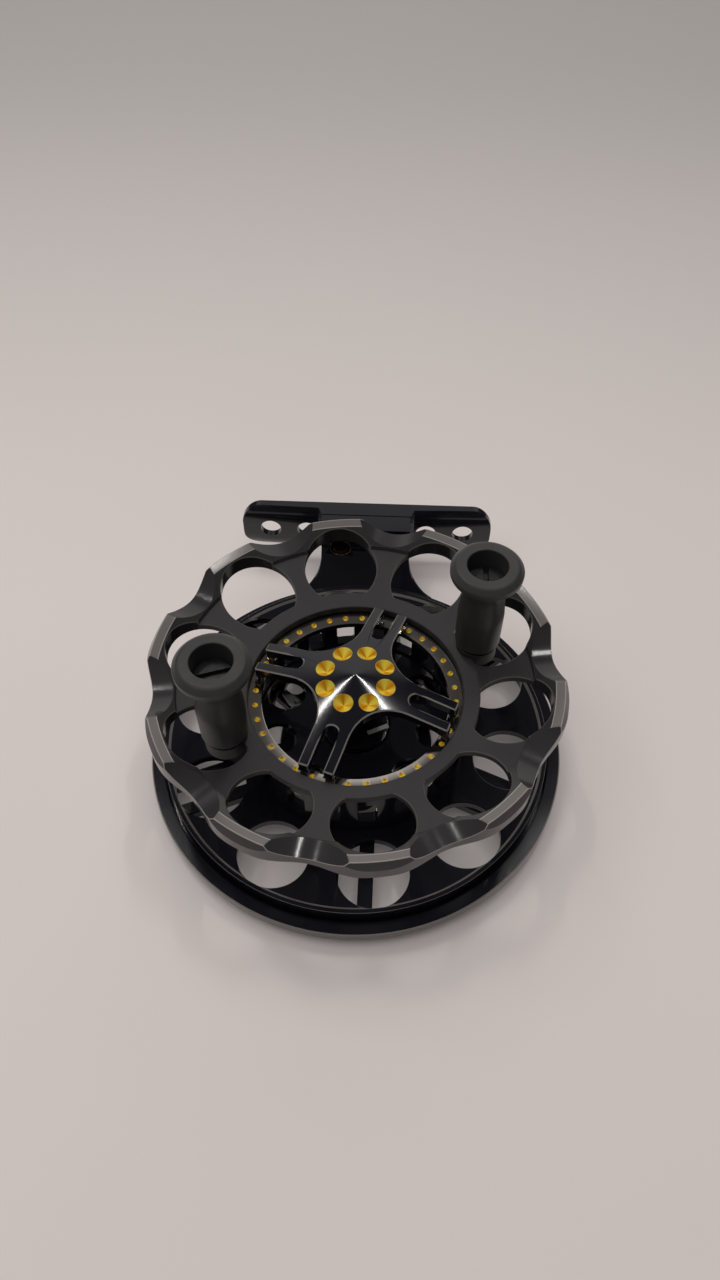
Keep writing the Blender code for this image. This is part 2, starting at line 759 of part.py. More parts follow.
def ring_holes(outermost, spoke):
    """Radius and ring radius of ten round holes that reach a radius and leave a spoke between them."""
    share = math.sin(math.pi / LOBES)
    radius = (outermost * share - spoke / 2) / (1 + share)
    return radius, outermost - radius


def hole_outline(radius, ring, keep, angle):
    """A round hole whose inner side stops at a ring of metal that is kept."""
    points = circle(radius, HOLE_STEPS, polar(ring, angle))
    return [p if p.length > keep else p * (keep / p.length) for p in points]


def spool_rear_flange(black, parent):
    bm = bmesh.new()
    profile = [
        (DRUM_R + GAP, drum_z), (rear_r, drum_z), (rear_r, rear_top + REAR_LIP),
        (rear_r - REAR_LIP_WIDTH, rear_top + REAR_LIP), (rear_r - REAR_LIP_WIDTH - REAR_LIP, rear_top),
        (DRUM_R + GAP, rear_top),
    ]
    add_turned(bm, profile, FINE_STEPS)
    flange = make("spool_rear_flange", bm, black, parent)
    radius, ring = ring_holes(rear_r - REAR_HOLE_MARGIN, REAR_SPOKE)
    keep = DRUM_R + GAP + REAR_INNER_RING
    holes = bmesh.new()
    for k in range(LOBES):
        outline = hole_outline(radius, ring, keep, 360.0 * k / LOBES)
        add_prism(holes, outline, drum_z - GAP, rear_top + 2 * REAR_LIP)
    boolean(flange, "rear_holes", holes)
    return flange


def rim_outline_r(degrees):
    """The rim's plan radius: round lobes with wide shallow notches between them."""
    lift = (1 + math.cos(math.radians(LOBES * degrees))) / 2
    return RIM_R - RIM_NOTCH_INSET * (1 - lift ** 2.5)


def flange_top_z(radius):
    return front_top + FRONT_RISE * (radius - opening_r)


def front_profile(degrees):
    """The front flange's section at one angle: cone, step, inner slope, land, chamfer and wall."""
    outer = rim_outline_r(degrees)
    shoulder = min(land_r, outer - GAP)
    fall = RIM_LAND_DROP / RIM_LAND
    shoulder_z = land_z - fall * (land_r - shoulder)
    edge_z = shoulder_z - RIM_CHAMFER_DROP * (outer - shoulder) / RIM_CHAMFER
    wall_foot = land_z - RIM_WALL_FOOT
    under_r = land_inner_r - RIM_CHAMFER
    return [
        (opening_r, front_z), (opening_r, front_top),
        (slope_foot_r - GAP, flange_top_z(slope_foot_r - GAP)), (slope_foot_r, slope_foot_z),
        (land_inner_r, land_inner_z), (shoulder, shoulder_z), (outer, edge_z), (outer, wall_foot),
        (under_r, flange_top_z(under_r) - FRONT_THICKNESS),
    ]


def front_blank():
    """The front flange before its holes and notches, turned with the rim's wavy outline."""
    bm = bmesh.new()
    angles = [360.0 * (i + 0.5) / FINE_STEPS for i in range(FINE_STEPS)]
    add_loft(bm, [[polar(r, a, z) for r, z in front_profile(a)] for a in angles], closed_ring=True)
    return bm


def boss_outline(angle):
    """A handle's round boss with a tongue that joins it to the ring round the opening."""
    half = HANDLE_TONGUE_WIDTH / 2
    start = opening_r + FRONT_INNER_RING / 2
    waist = math.degrees(math.asin(half / HANDLE_BOSS_R))
    sweep = 2 * (180.0 - waist)
    points = [Vector((start, -half, 0.0))]
    points += [Vector((HANDLE_RING_R, 0.0, 0.0)) + polar(HANDLE_BOSS_R, waist - 180.0 + sweep * i / SMALL_STEPS)
               for i in range(SMALL_STEPS + 1)]
    points.append(Vector((start, half, 0.0)))
    turn = Matrix.Rotation(math.radians(angle), 3, "Z")
    return [turn @ p for p in points]


def notch_cutter(bm, angle):
    """A lens-shaped bar along the radius whose round underside makes one finger notch."""
    height = 2 * NOTCH_DEPTH
    half = math.degrees(math.acos(1 - height / NOTCH_R))
    arc = [half * (i / 4 - 1) for i in range(9)]
    curve = [(NOTCH_R * math.sin(math.radians(a)), NOTCH_R * (1 - math.cos(math.radians(a)))) for a in arc]
    outer_r = RIM_R - RIM_NOTCH_INSET
    tilt = math.tan(math.radians(NOTCH_TILT))
    loops = []
    for radius in (slope_foot_r - 2 * RIM_STEP, RIM_R + 2 * RIM_STEP):
        floor = land_z - NOTCH_DEPTH + tilt * (radius - outer_r)
        loops.append([Vector((radius, x, floor + z)) for x, z in curve])
    first = len(bm.verts)
    add_loft(bm, loops)
    place(bm, Matrix.Rotation(math.radians(angle), 4, "Z"), first)


def spool_front_flange(black, parent):
    flange = make("spool_front_flange", front_blank(), black, parent)
    low = front_z - RIM_STEP
    high = land_z + RIM_STEP
    radius, ring = ring_holes(land_inner_r - FRONT_HOLE_MARGIN, FRONT_SPOKE)
    keep = opening_r + FRONT_INNER_RING
    holes = bmesh.new()
    notches = bmesh.new()
    for k in range(LOBES):
        angle = 360.0 * k / LOBES
        add_prism(holes, hole_outline(radius, ring, keep, angle), low, high)
        notch_cutter(notches, angle + 180.0 / LOBES)
    boolean(flange, "flange_holes", holes)
    boolean(flange, "finger_notches", notches)
    bosses = bmesh.new()
    bores = bmesh.new()
    for lobe in HANDLE_LOBES:
        angle = 360.0 * lobe / LOBES
        spot = polar(HANDLE_RING_R, angle)
        add_prism(bosses, boss_outline(angle), front_z + GAP, handle_z)
        add_prism(bores, circle(HANDLE_POST_R + GAP, HOLE_STEPS, spot), low, handle_z + GAP)
    boolean(flange, "handle_bosses", bosses, "UNION")
    boolean(flange, "post_bores", bores)
    return flange


# Hub star

def star_peak():
    return ledge_top + STAR_PEAK


def star_outline():
    """Four forked arms with round-ended slots, joined by hollow corners."""
    reach = opening_r - STAR_REACH_GAP
    slot = STAR_SLOT_WIDTH / 2
    edge = slot + STAR_PRONG_WIDTH
    slot_r = STAR_SLOT_START + slot
    hollow = edge + STAR_FILLET_R
    points = []
    for k in range(STAR_ARMS):
        turn = Matrix.Rotation(math.radians(360.0 * k / STAR_ARMS), 3, "Z")
        arm = [(reach, -edge), (reach, -slot)]
        arm += [(slot_r - slot * math.cos(math.radians(a)), slot * math.sin(math.radians(a)))
                for a in (-90, -45, 0, 45, 90)]
        arm += [(reach, slot), (reach, edge)]
        arm += [(hollow - STAR_FILLET_R * math.sin(math.radians(a)), hollow - STAR_FILLET_R * math.cos(math.radians(a)))
                for a in range(0, 91, 15)]
        points += [turn @ Vector((x, y, 0.0)) for x, y in arm]
    return points


def star_height(spot):
    """Height of the star's upper face over a point of the plan."""
    return star_peak() - STAR_SLOPE * spot.length


def star_cone(bm):
    """The shallow cone with its thickness, wider than the star."""
    span = Vector((2 * opening_r, 0.0, 0.0))
    brim = star_height(span)
    profile = [(0.0, star_peak() - STAR_THICKNESS), (span.x, brim - STAR_THICKNESS), (span.x, brim),
               (0.0, star_peak())]
    add_turned(bm, profile, SMALL_STEPS)


def hub_star(black, parent):
    bm = bmesh.new()
    add_prism(bm, star_outline(), front_z, star_peak() + STAR_THICKNESS)
    star = make("hub_star", bm, black, parent)
    star.matrix_basis = Matrix.Rotation(math.radians(STAR_TURN), 4, "Z")
    cone = bmesh.new()
    star_cone(cone)
    boolean(star, "star_cone", cone, "INTERSECT")
    legs = bmesh.new()
    reach = opening_r - STAR_REACH_GAP
    slot = STAR_SLOT_WIDTH / 2
    for k in range(STAR_ARMS):
        turn = Matrix.Rotation(math.radians(360.0 * k / STAR_ARMS), 4, "Z")
        for side in (-1, 1):
            first = len(legs.verts)
            across = sorted((side * (slot + GAP / 2), side * (slot + STAR_PRONG_WIDTH - GAP / 2)))
            foot = [Vector((x, y, 0.0)) for x, y in
                    ((reach - STAR_LEG, across[0]), (reach - GAP / 2, across[0]),
                     (reach - GAP / 2, across[1]), (reach - STAR_LEG, across[1]))]
            top = min(star_height(p) for p in foot) - STAR_THICKNESS / 2
            add_prism(legs, foot, ledge_top + GAP, top)
            place(legs, turn, first)
    boolean(star, "star_legs", legs, "UNION")
    cups = bmesh.new()
    for k in range(STAR_CUPS):
        spot = polar(STAR_CUP_RING_R, 360.0 * k / STAR_CUPS)
        brim = star_height(spot)
        flare = STAR_CUP_R / STAR_CUP_DEPTH
        profile = [(0.0, brim - STAR_CUP_DEPTH), (STAR_CUP_R + flare * STAR_CUP_DEPTH, brim + STAR_CUP_DEPTH),
                   (0.0, brim + STAR_CUP_DEPTH)]
        add_turned(cups, profile, HOLE_STEPS, (spot.x, spot.y))
    boolean(star, "star_cups", cups)
    return star


# Handles

def handle_spots():
    return [polar(HANDLE_RING_R, 360.0 * lobe / LOBES) for lobe in HANDLE_LOBES]


def handle_floor():
    return handle_z + GAP


def recess_floor():
    """Height of the recess floor above the handle's own base."""
    return HANDLE_HEIGHT - HANDLE_RECESS_DEPTH


def handle_post(name, steel, parent):
    """A post standing in the flange, bored for its screw; its axis is the parent's."""
    low = front_z - handle_floor()
    top = recess_floor()
    bore = HANDLE_SCREW_SHANK_R + GAP
    depth = HANDLE_SCREW_SHANK + GAP
    profile = [(0.0, low), (HANDLE_POST_R, low), (HANDLE_POST_R, top), (bore, top),
               (bore, top - depth), (0.0, top - depth)]
    bm = bmesh.new()
    add_turned(bm, profile, HOLE_STEPS)
    return make(name, bm, steel, parent)


def handle_screw(name, turn, steel, parent):
    """A slotted head that keeps a handle on its post."""
    floor = recess_floor() + GAP
    top = floor + HANDLE_SCREW_HEIGHT
    head = HANDLE_RECESS_R - GAP
    shank = HANDLE_SCREW_SHANK_R
    profile = [(0.0, floor - HANDLE_SCREW_SHANK), (shank, floor - HANDLE_SCREW_SHANK), (shank, floor),
               (head, floor), (head, top - GAP), (head - GAP, top), (0.0, top)]
    bm = bmesh.new()
    add_turned(bm, profile, HOLE_STEPS)
    screw = make(name, bm, steel, parent)
    half = HANDLE_SCREW_SLOT / 2
    corners = [Vector((x * 2 * head, y * half, 0.0)) for x, y in ((-1, -1), (1, -1), (1, 1), (-1, 1))]
    slot = bmesh.new()
    add_prism(slot, corners, top - HANDLE_SCREW_HEIGHT / 2, top + GAP)
    place(slot, Matrix.Rotation(math.radians(turn), 4, "Z"))
    boolean(screw, name + "_slot", slot)
    return screw


def handle_knob(name, black, parent):
    """A turned grip with a slight waist, a round-edged cap and a deep recess for its screw."""
    low = 0.0
    top = HANDLE_HEIGHT
    cap = top - HANDLE_CAP_THICKNESS
    neck = cap - HANDLE_CAP_THICKNESS / 2
    edge = HANDLE_CAP_THICKNESS / 4
    bore = HANDLE_POST_R + GAP
    recess = top - HANDLE_RECESS_DEPTH
    profile = [
        (bore, low), (HANDLE_BASE_R, low), (HANDLE_GRIP_R, low + edge),
        (HANDLE_GRIP_R, neck * 0.6), (HANDLE_WAIST_R, neck),
        (HANDLE_CAP_R - edge, cap), (HANDLE_CAP_R, cap + edge), (HANDLE_CAP_R, top - edge),
        (HANDLE_CAP_R - edge, top), (HANDLE_RECESS_R, top), (HANDLE_RECESS_R, recess), (bore, recess),
    ]
    bm = bmesh.new()
    add_turned(bm, profile, SMALL_STEPS)
    return make(name, bm, black, parent)


# Assembly

def build():
    clear_scene()
    satin = finish_of("satin_black", (0.035, 0.033, 0.033), 0.38, 0.9)
    gloss = finish_of("gloss_black", (0.02, 0.021, 0.026), 0.25, 0.9)
    plastic = finish_of("matt_black", (0.025, 0.025, 0.026), 0.6, 0.0)
    gold = finish_of("gold", (0.8, 0.45, 0.04), 0.25, 1.0)
    steel = finish_of("steel", (0.55, 0.55, 0.56), 0.3, 1.0)
    carbon = finish_of("carbon", (0.03, 0.03, 0.03), 0.7, 0.0)

    frame_ring(gloss)
    frame_spider(gloss)
    foot_post(gloss)
    reel_foot(gloss)
    for number, x in enumerate(screw_spots(), start=1):
        foot_screw(f"foot_screw_{number}", x, gold)
    spindle(steel)
    spool_lock_nut(gloss)
    drag_washer("drag_washer_lower", 0, carbon)
    drag_washer("drag_washer_upper", 2, carbon)
    click_pin(steel)
    click_spring(steel)

    main_axis = axis_empty("spool_axis", turn=SPOOL_TURN)
    spool_front_flange(satin, main_axis)
    spool_drum(gloss, main_axis)
    spool_rear_flange(gloss, main_axis)
    hub_star(gloss, main_axis)
    one_way_clutch(steel, main_axis)
    click_gear(steel, main_axis)
    for side, floor in zip(("rear", "front"), bearing_floors()):
        bearing_race(f"{side}_bearing_inner", inner_race_r, floor, steel)
        bearing_race(f"{side}_bearing_outer", outer_race_r, floor, steel, main_axis)
        bearing_cage(f"{side}_bearing_balls", floor, steel, main_axis)
    for number, (spot, turn) in enumerate(zip(handle_spots(), HANDLE_SCREW_TURNS), start=1):
        place_at = (spot.x, spot.y, handle_floor())
        handle_axis = axis_empty(f"handle_axis_{number}", place_at, parent=main_axis)
        handle_post(f"handle_post_{number}", steel, handle_axis)
        handle_screw(f"handle_screw_{number}", turn, steel, handle_axis)
        handle_knob(f"handle_knob_{number}", plastic, handle_axis)

    drag_axis = axis_empty("drag_axis")
    drag_rotor(steel, drag_axis)
    drag_pressure_plate(steel, drag_axis)
    drag_knob(gloss, drag_axis)
    pawl_axis = axis_empty("pawl_axis", polar(pawl_pivot_r(), PAWL_ANGLE), PAWL_ANGLE)
    click_pawl(steel, pawl_axis)


build()
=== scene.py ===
"""The look of a fly reel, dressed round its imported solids.

Lengths are in metres and angles in degrees. The reel lies on its drag knob, with the spool's axis on +Z
and the foot towards +Y. The spool's pieces are shaped with a rim lobe on +X and then turned to the spool's
rest angle.
"""
import json
import math

import bmesh
import bpy
from mathutils import Matrix, Vector


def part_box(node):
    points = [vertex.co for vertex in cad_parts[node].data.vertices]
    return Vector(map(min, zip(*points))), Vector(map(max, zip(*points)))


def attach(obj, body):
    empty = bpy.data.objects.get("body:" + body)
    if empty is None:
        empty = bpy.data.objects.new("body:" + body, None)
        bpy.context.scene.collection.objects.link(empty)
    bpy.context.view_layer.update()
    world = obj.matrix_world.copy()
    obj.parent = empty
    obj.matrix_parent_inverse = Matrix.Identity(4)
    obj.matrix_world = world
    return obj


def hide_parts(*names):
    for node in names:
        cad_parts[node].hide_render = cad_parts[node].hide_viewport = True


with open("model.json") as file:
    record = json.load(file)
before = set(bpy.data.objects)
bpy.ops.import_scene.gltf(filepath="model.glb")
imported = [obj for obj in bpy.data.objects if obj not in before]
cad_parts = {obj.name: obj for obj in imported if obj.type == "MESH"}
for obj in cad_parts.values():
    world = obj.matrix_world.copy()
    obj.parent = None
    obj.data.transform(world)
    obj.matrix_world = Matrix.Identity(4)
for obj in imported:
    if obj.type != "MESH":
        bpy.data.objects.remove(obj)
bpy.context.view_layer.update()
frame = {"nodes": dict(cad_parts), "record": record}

MM = 0.001
GAP = 0.3 * MM
FINE = 0.12 * MM
SLIVER = 0.02 * MM

# Places read from the solids
ring_low, ring_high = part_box("frame_ring")
drum_low, drum_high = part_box("spool_drum")
rear_low, rear_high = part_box("spool_rear_flange")
front_low, front_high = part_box("spool_front_flange")
star_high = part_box("hub_star")[1]
spider_low, spider_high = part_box("frame_spider")
post_low, post_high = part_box("foot_post")
foot_low, foot_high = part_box("reel_foot")
nut_low, nut_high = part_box("spool_lock_nut")
knob_low, knob_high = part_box("drag_knob")

# Spool
SPOOL_TURN = -81.4
LOBES = 10
DRUM_R = 24.5 * MM
DRUM_WALL = 2.1 * MM
LEDGE_WIDTH = 4.5 * MM
LEDGE_THICKNESS = 1.7 * MM
LEDGE_SLOPE = 0.16
WEB_FLOOR = 3.7 * MM
WEB_THICKNESS = 1.5 * MM
WEB_HOLES = 9
WEB_HOLE_R = 4.1 * MM
WEB_HOLE_RING_R = 17.5 * MM
WEB_HOLE_TURN = 76.4
TUBE_R = 8.8 * MM
TUBE_WALL = 1.2 * MM
WINDOWS = 20
WINDOW_WIDTH = 4.0 * MM
WINDOW_SILL = 0.8 * MM
WINDOW_HEIGHT = 6.6 * MM
WINDOW_CORNER = 0.7 * MM
PITS = 36
PIT_RING_R = 21.45 * MM
PIT_R = 0.62 * MM
PIT_DEPTH = 0.5 * MM
PIT_SKIN = 0.04 * MM
REAR_R = 42.75 * MM
REAR_THICKNESS = 2.0 * MM
REAR_LIP_WIDTH = 0.9 * MM
REAR_SKIRT = 0.75 * MM
REAR_SKIRT_DROP = 2.0 * MM
REAR_SEAT = 0.2 * MM
REAR_HOLE_R = 7.51 * MM
REAR_HOLE_RING_R = 34.19 * MM

# Front flange
OPENING_R = 22.9 * MM
FRONT_THICKNESS = 1.7 * MM
FRONT_RISE = 0.265
FRONT_HOLE_R = 8.27 * MM
FRONT_HOLE_RING_R = 32.58 * MM
FRONT_INNER_RING_R = 26.4 * MM
SLOPE_FOOT_R = 37.5 * MM
RIM_STEP = 1.0 * MM
LAND_INNER_R = 41.2 * MM
LAND_R = 43.0 * MM
LAND_DROP = 0.6 * MM
LAND_LEVEL = 0.94
LAND_LEVEL_SPREAD = 0.03
RIM_R = 44.0 * MM
RIM_CHAMFER_DROP = 1.8 * MM
RIM_WALL_FOOT = 4.6 * MM
RIM_UNDER_R = 40.2 * MM
NOTCH_INSET = 2.1 * MM
NOTCH_SHARPNESS = 1.6
NOTCH_R = 12.5 * MM
NOTCH_DEPTH = 2.9 * MM
CREASE = 0.1 * MM
OUTER_CREASE = (0.17 * MM, 0.2 * MM)
EDGE = 0.18 * MM

# Hub star
STAR_TURN = 62.6
STAR_ARMS = 4
STAR_REACH = 21.7 * MM
STAR_PRONG = 2.2 * MM
STAR_SLOT = 3.3 * MM
STAR_SLOT_START = 12.0 * MM
STAR_FILLET_R = 9.3 * MM
STAR_THICKNESS = 2.4 * MM
STAR_SLOPE = 0.1855
STAR_LEG = 1.4 * MM
CUPS = 8
CUP_RING_R = 6.8 * MM
CUP_R = 2.05 * MM
CUP_DEPTH = 1.6 * MM
CUP_SKIN = 0.05 * MM

# Handles: the grip's side from its base up and its cap from the top down, in millimetres
HANDLES = {"handle_1": 3, "handle_2": 8}
HANDLE_RING_R = 28.9 * MM
HANDLE_BOSS_R = 4.4 * MM
HANDLE_BOSS_RISE = 0.4 * MM
HANDLE_BORE_R = 2.5 * MM
GRIP_SIDE = ((4.0, 0.0, 0.2), (4.85, 0.9, 0.8), (4.9, 10.0, 4.0), (4.35, 16.5, 4.0))
GRIP_CAP = ((5.2, -4.4, 1.5), (6.7, -3.3, 0.4), (7.4, -2.5, 0.6), (7.45, -1.2, 0.5),
            (6.5, -0.15, 0.9), (6.0, 0.0, 0.8))
GRIP_RECESS_R = 4.1 * MM
SCREW_TURNS = {"handle_1": 170.0, "handle_2": 100.0}
SCREW_HEAD = 1.8 * MM
SCREW_SHANK = 0.9 * MM
SCREW_SLOT = 1.2 * MM
SCREW_SLOT_DEPTH = 0.9 * MM

# Frame, post and foot
RING_WIDTH = 2.9 * MM
RING_SHELF = 0.9 * MM
RING_EDGE = 0.25 * MM
ARM_STEP = 66.5
ARM_BAR = 3.1 * MM
ARM_SLOT = 4.1 * MM
ARM_SLOT_INSET = 1.0 * MM
HUB_R = 17.2 * MM
SPINDLE_BORE_R = 2.7 * MM
PIN_HOLES = 3
PIN_HOLE_R = 1.0 * MM
PIN_RING_R = 15.3 * MM
POST_PLATE = 5.0 * MM
POST_SLOPE = 1.11
POST_STEPS = 16
POST_FLARE = 6.0 * MM
POST_FLARE_HEIGHT = 5.0 * MM
POST_FLARE_THICKNESS = 1.2 * MM
FOOT_SEAT_FLAT = 4.0 * MM
FOOT_SEAT_R = 7.8 * MM
FOOT_CORNER_R = 5.0 * MM
FOOT_TIP = 1.5 * MM
FOOT_WING = 2.1 * MM
FOOT_BLOCK = 2.8 * MM
FOOT_BLOCK_LENGTH = 22.7 * MM
FOOT_BLOCK_RAMP = 0.9 * MM
FOOT_HOLE_R = 2.65 * MM
FOOT_HOLE_SPAN = (0.05, 0.07)
FOOT_HOLES = (-24.8 * MM, -15.3 * MM, 15.3 * MM, 24.8 * MM)
FOOT_SCREWS = {"foot_screw_1": -6.4 * MM, "foot_screw_2": 6.4 * MM}
FOOT_SCREW_R = 2.75 * MM
FOOT_SCREW_SHANK_R = 1.5 * MM
FOOT_SCREW_SINK = 0.15 * MM
FOOT_SCREW_DISH = 0.8 * MM
FOOT_SCREW_PLAY = 0.1 * MM
SOCKET_R = 1.15 * MM
SOCKET_DEPTH = 0.8 * MM

# Drag knob and lock nut
KNOB_GRIPS = 12
KNOB_GRIP_DEPTH = 0.7 * MM
KNOB_BEVEL = (1.4 * MM, 0.7 * MM)
KNOB_BORE_R = 2.7 * MM
KNOB_FLOOR = 1.2 * MM
NUT_WELL = 0.7 * MM
NUT_WELL_R = 3.3 * MM
NUT_SLOT = (5.3 * MM, -18.8)
NUT_SLOT_TURN = 26.0
NUT_SLOT_LENGTH = 5.2 * MM
NUT_SLOT_WIDTH = 1.2 * MM
NUT_SLOT_DEPTH = 0.4 * MM
SLOT_FLOOR = (0.38 * MM, 0.12 * MM)
SLOT_FLOOR_SHARE = 0.96

# How bright a face is marked, from 0 for black to 1 for bare bright metal: the ledge is bare metal, the
# other marks are painted highlights and painted reflections
BRIGHT_MARK = "burnish"
HOLE_EDGE_HIGHLIGHT = 0.12
LAND_SHEEN = 0.2
CREASE_HIGHLIGHT = 0.55
LEDGE_BARE = 1.0
REAR_LIP_HIGHLIGHT = 0.3
STAR_EDGE_HIGHLIGHT = 0.42
RING_WALL_REFLECTION = 0.12
RING_EDGE_HIGHLIGHT = 0.4
FOOT_EDGE_HIGHLIGHT = 0.15
SCREW_RIM_HIGHLIGHT = 1.0
FACET_HIGHLIGHTS = (0.3, 0.55, 0.8, 1.0)

# Colours
# Bare metal, and the colour towards which painted highlights and painted reflections are mixed
BARE_METAL_AND_HIGHLIGHT = (0.72, 0.67, 0.62)
# Golds: the bright gold paints highlights, the darker golds paint shade on dimple facets and on the screw's
# face
HIGHLIGHT_GOLD = (1.0, 0.80, 0.09)
SHADED_FACET_GOLD = (0.70, 0.30, 0.005)
SHADED_SCREW_GOLD = (0.02, 0.008, 0.001)
BOARD_FAR_SHADE = (0.515, 0.49, 0.475)
LAMP_COLOUR = (1.0, 0.97, 0.94)
ROOM_COLOUR = (1.0, 0.95, 0.92)

# Room: dark overhead and behind the camera, bright low down behind the reel
ROOM_DARK = 0.045
ROOM_BRIGHT = 0.6
ROOM_BEHIND = (-0.1, 0.4)
ROOM_LOW = (0.80, 0.62)
ROOM_MIDDLE = (0.52, 0.34)
BOARD_HALF = 1.4
BOARD_STEPS = 14
BOARD_SHADE_FADE = (0.02, 0.40)
BOARD_SINK = 0.05 * MM
STRIPS = {"left_tube": (-0.60, 0.77, 2.0), "right_tube": (0.47, 0.77, 2.0)}
STRIP_SIZE = (0.026, 0.34)
STRIP_POWER = 3.0
FILL_PLACE = (-0.13, 0.06, 0.70)
FILL_AIM = (0.0, 0.06, 0.0)
FILL_SIZE = (0.8, 0.8)
FILL_POWER = 3.65

# Camera
CAMERA_PLACE = (6.31 * MM, -117.71 * MM, 194.24 * MM)
CAMERA_LOOK = (-0.0277, 0.6117, -0.7906)
CAMERA_UP = (-0.0344, 0.7898, 0.6123)
CAMERA_LENS = 27.335
CAMERA_SENSOR = 36.0
CAMERA_NEAR = 0.01

# Heights that follow
front_top = front_low.z + FRONT_THICKNESS
land_z = front_high.z
land_inner_z = land_z - LAND_DROP
slope_foot_z = front_top + FRONT_RISE * (SLOPE_FOOT_R - OPENING_R) + RIM_STEP
ledge_top = drum_high.z
web_top = drum_low.z + WEB_FLOOR + WEB_THICKNESS
boss_top = front_top + FRONT_RISE * (HANDLE_RING_R - OPENING_R) + HANDLE_BOSS_RISE
post_plate = post_high.y - POST_PLATE
foot_middle = (foot_low.z + foot_high.z) / 2


# Node trees

def arithmetic(operation):
    """The methods of one sign, for a wire on its left and for a wire on its right."""
    return (lambda wire, other: wire.tree.math(operation, wire, other),
            lambda wire, other: wire.tree.math(operation, other, wire))


class Wire:
    """One output of a node; arithmetic on wires adds Math nodes to their tree."""

    __add__, __radd__ = arithmetic("ADD")
    __sub__, __rsub__ = arithmetic("SUBTRACT")
    __mul__, __rmul__ = arithmetic("MULTIPLY")
    __truediv__, __rtruediv__ = arithmetic("DIVIDE")
    __pow__, __rpow__ = arithmetic("POWER")

    def __init__(self, tree, socket):
        self.tree = tree
        self.socket = socket

    def out(self, name):
        """Another output of the same node."""
        return Wire(self.tree, self.socket.node.outputs[name])


class Tree:
    """Adds nodes to one shader or geometry tree."""

    def __init__(self, node_tree):
        self.node_tree = node_tree

    def add(self, kind, settings=None, inputs=None, output=0):
        """A node of a type, with its settings made first and then its sockets fed."""
        node = self.node_tree.nodes.new(kind)
        for name, value in (settings or {}).items():
            setattr(node, name, value)
        for name, value in (inputs or {}).items():
            self.feed(node.inputs[name], value)
        return Wire(self, node.outputs[output]) if len(node.outputs) else node

    def feed(self, socket, value):
        if isinstance(value, Wire):
            self.node_tree.links.new(value.socket, socket)
        elif socket.type == "RGBA":
            socket.default_value = (*value[:3], 1.0)
        else:
            socket.default_value = value

    def math(self, operation, *values):
        return self.add("ShaderNodeMath", {"operation": operation}, dict(enumerate(values)))

    def mix(self, factor, first, second):
        """A colour between two colours."""
        return self.add("ShaderNodeMix", {"data_type": "RGBA"}, {0: factor, 6: first, 7: second}, output=2)

    def ramp(self, value, start, end, low=0.0, high=1.0, shape="SMOOTHSTEP"):
        """A value that goes from low to high while another goes from start to end."""
        return self.add("ShaderNodeMapRange", {"interpolation_type": shape}, {
            "Value": value, "From Min": start, "From Max": end, "To Min": low, "To Max": high})

    def split(self, vector):
        """The X part of a vector; its node has the other parts."""
        return self.add("ShaderNodeSeparateXYZ", inputs={"Vector": vector})

    def plan(self, place):
        """X, Y and the distance from the spool's axis."""
        x = self.split(place)
        y = x.out("Y")
        return x, y, self.math("SQRT", x * x + y * y)


class Finish(Tree):
    """A material's tree, whose patterns follow the place on the piece."""

    def __init__(self, name):
        self.material = bpy.data.materials.new(name)
        self.material.use_nodes = True
        super().__init__(self.material.node_tree)
        self.place = self.add("ShaderNodeTexCoord", output="Object")

    def noise(self, scale, detail):
        return self.add("ShaderNodeTexNoise", inputs={
            "Vector": self.place, "Scale": scale, "Detail": detail})

    def rings(self, radius, fineness):
        """Noise that changes with the radius only, like the marks of a lathe."""
        return self.add("ShaderNodeTexNoise", {"noise_dimensions": "1D"}, {
            "W": radius * fineness, "Scale": 1.0, "Detail": 3.0})

    def bump(self, height, strength, distance=0.02 * MM):
        return self.add("ShaderNodeBump", inputs={
            "Height": height, "Strength": strength, "Distance": distance})

    def bright_mark_factor(self):
        """How bright a face is marked: bare metal on the ledge, painted highlights and painted reflections
        elsewhere.
        """
        return self.add("ShaderNodeAttribute", {"attribute_name": BRIGHT_MARK}, output="Fac")

    def paint(self, **sockets):
        """Feed sockets of the Principled shader, named in small letters."""
        shader = self.node_tree.nodes["Principled BSDF"]
        for name, value in sockets.items():
            self.feed(shader.inputs[name.replace("_", " ").title().replace("Ior", "IOR")], value)
        return self.material


# Finishes

def anodised(name, dark, light, roughness, groove_depth, coat, blasted=None):
    """Anodised aluminium with lathe grooves and faint marks, dull where blasted, and mixed towards bare
    metal where a face is marked bright, which paints highlights and reflections on edges, lands and walls.
    """
    tree = Finish(name)
    radius = tree.plan(tree.place)[2]
    grooves = tree.rings(radius, 5200.0)
    grain = tree.noise(9000.0, 2.0)
    marks = tree.noise(70.0, 5.0)
    bare = tree.bright_mark_factor()
    black = tree.mix(marks * 0.6 + grooves * 0.4, dark, light)
    if blasted:
        roughness = tree.ramp(radius, SLOPE_FOOT_R - GAP, SLOPE_FOOT_R, blasted, roughness, "LINEAR")
    # Faces marked bright are painted lighter towards bare metal: painted highlights on edges and lands, bare
    # metal on the ledge
    return tree.paint(
        base_color=tree.mix(bare, black, BARE_METAL_AND_HIGHLIGHT), metallic=bare * 0.3 + bare ** 24.0 * 0.7,
        roughness=roughness - 0.05 + marks * 0.06 + grain * 0.04, coat_weight=coat, coat_roughness=0.08,
        normal=tree.bump(grooves * 0.7 + grain * 0.3, groove_depth))


def satin_black():
    return anodised("satin_black_anodised", (0.024, 0.0225, 0.024), (0.047, 0.044, 0.047),
                    roughness=0.15, groove_depth=0.3, coat=0.0, blasted=0.5)


def gloss_black():
    return anodised("gloss_black_anodised", (0.005, 0.0055, 0.009), (0.013, 0.0135, 0.020),
                    roughness=0.11, groove_depth=0.08, coat=0.2)


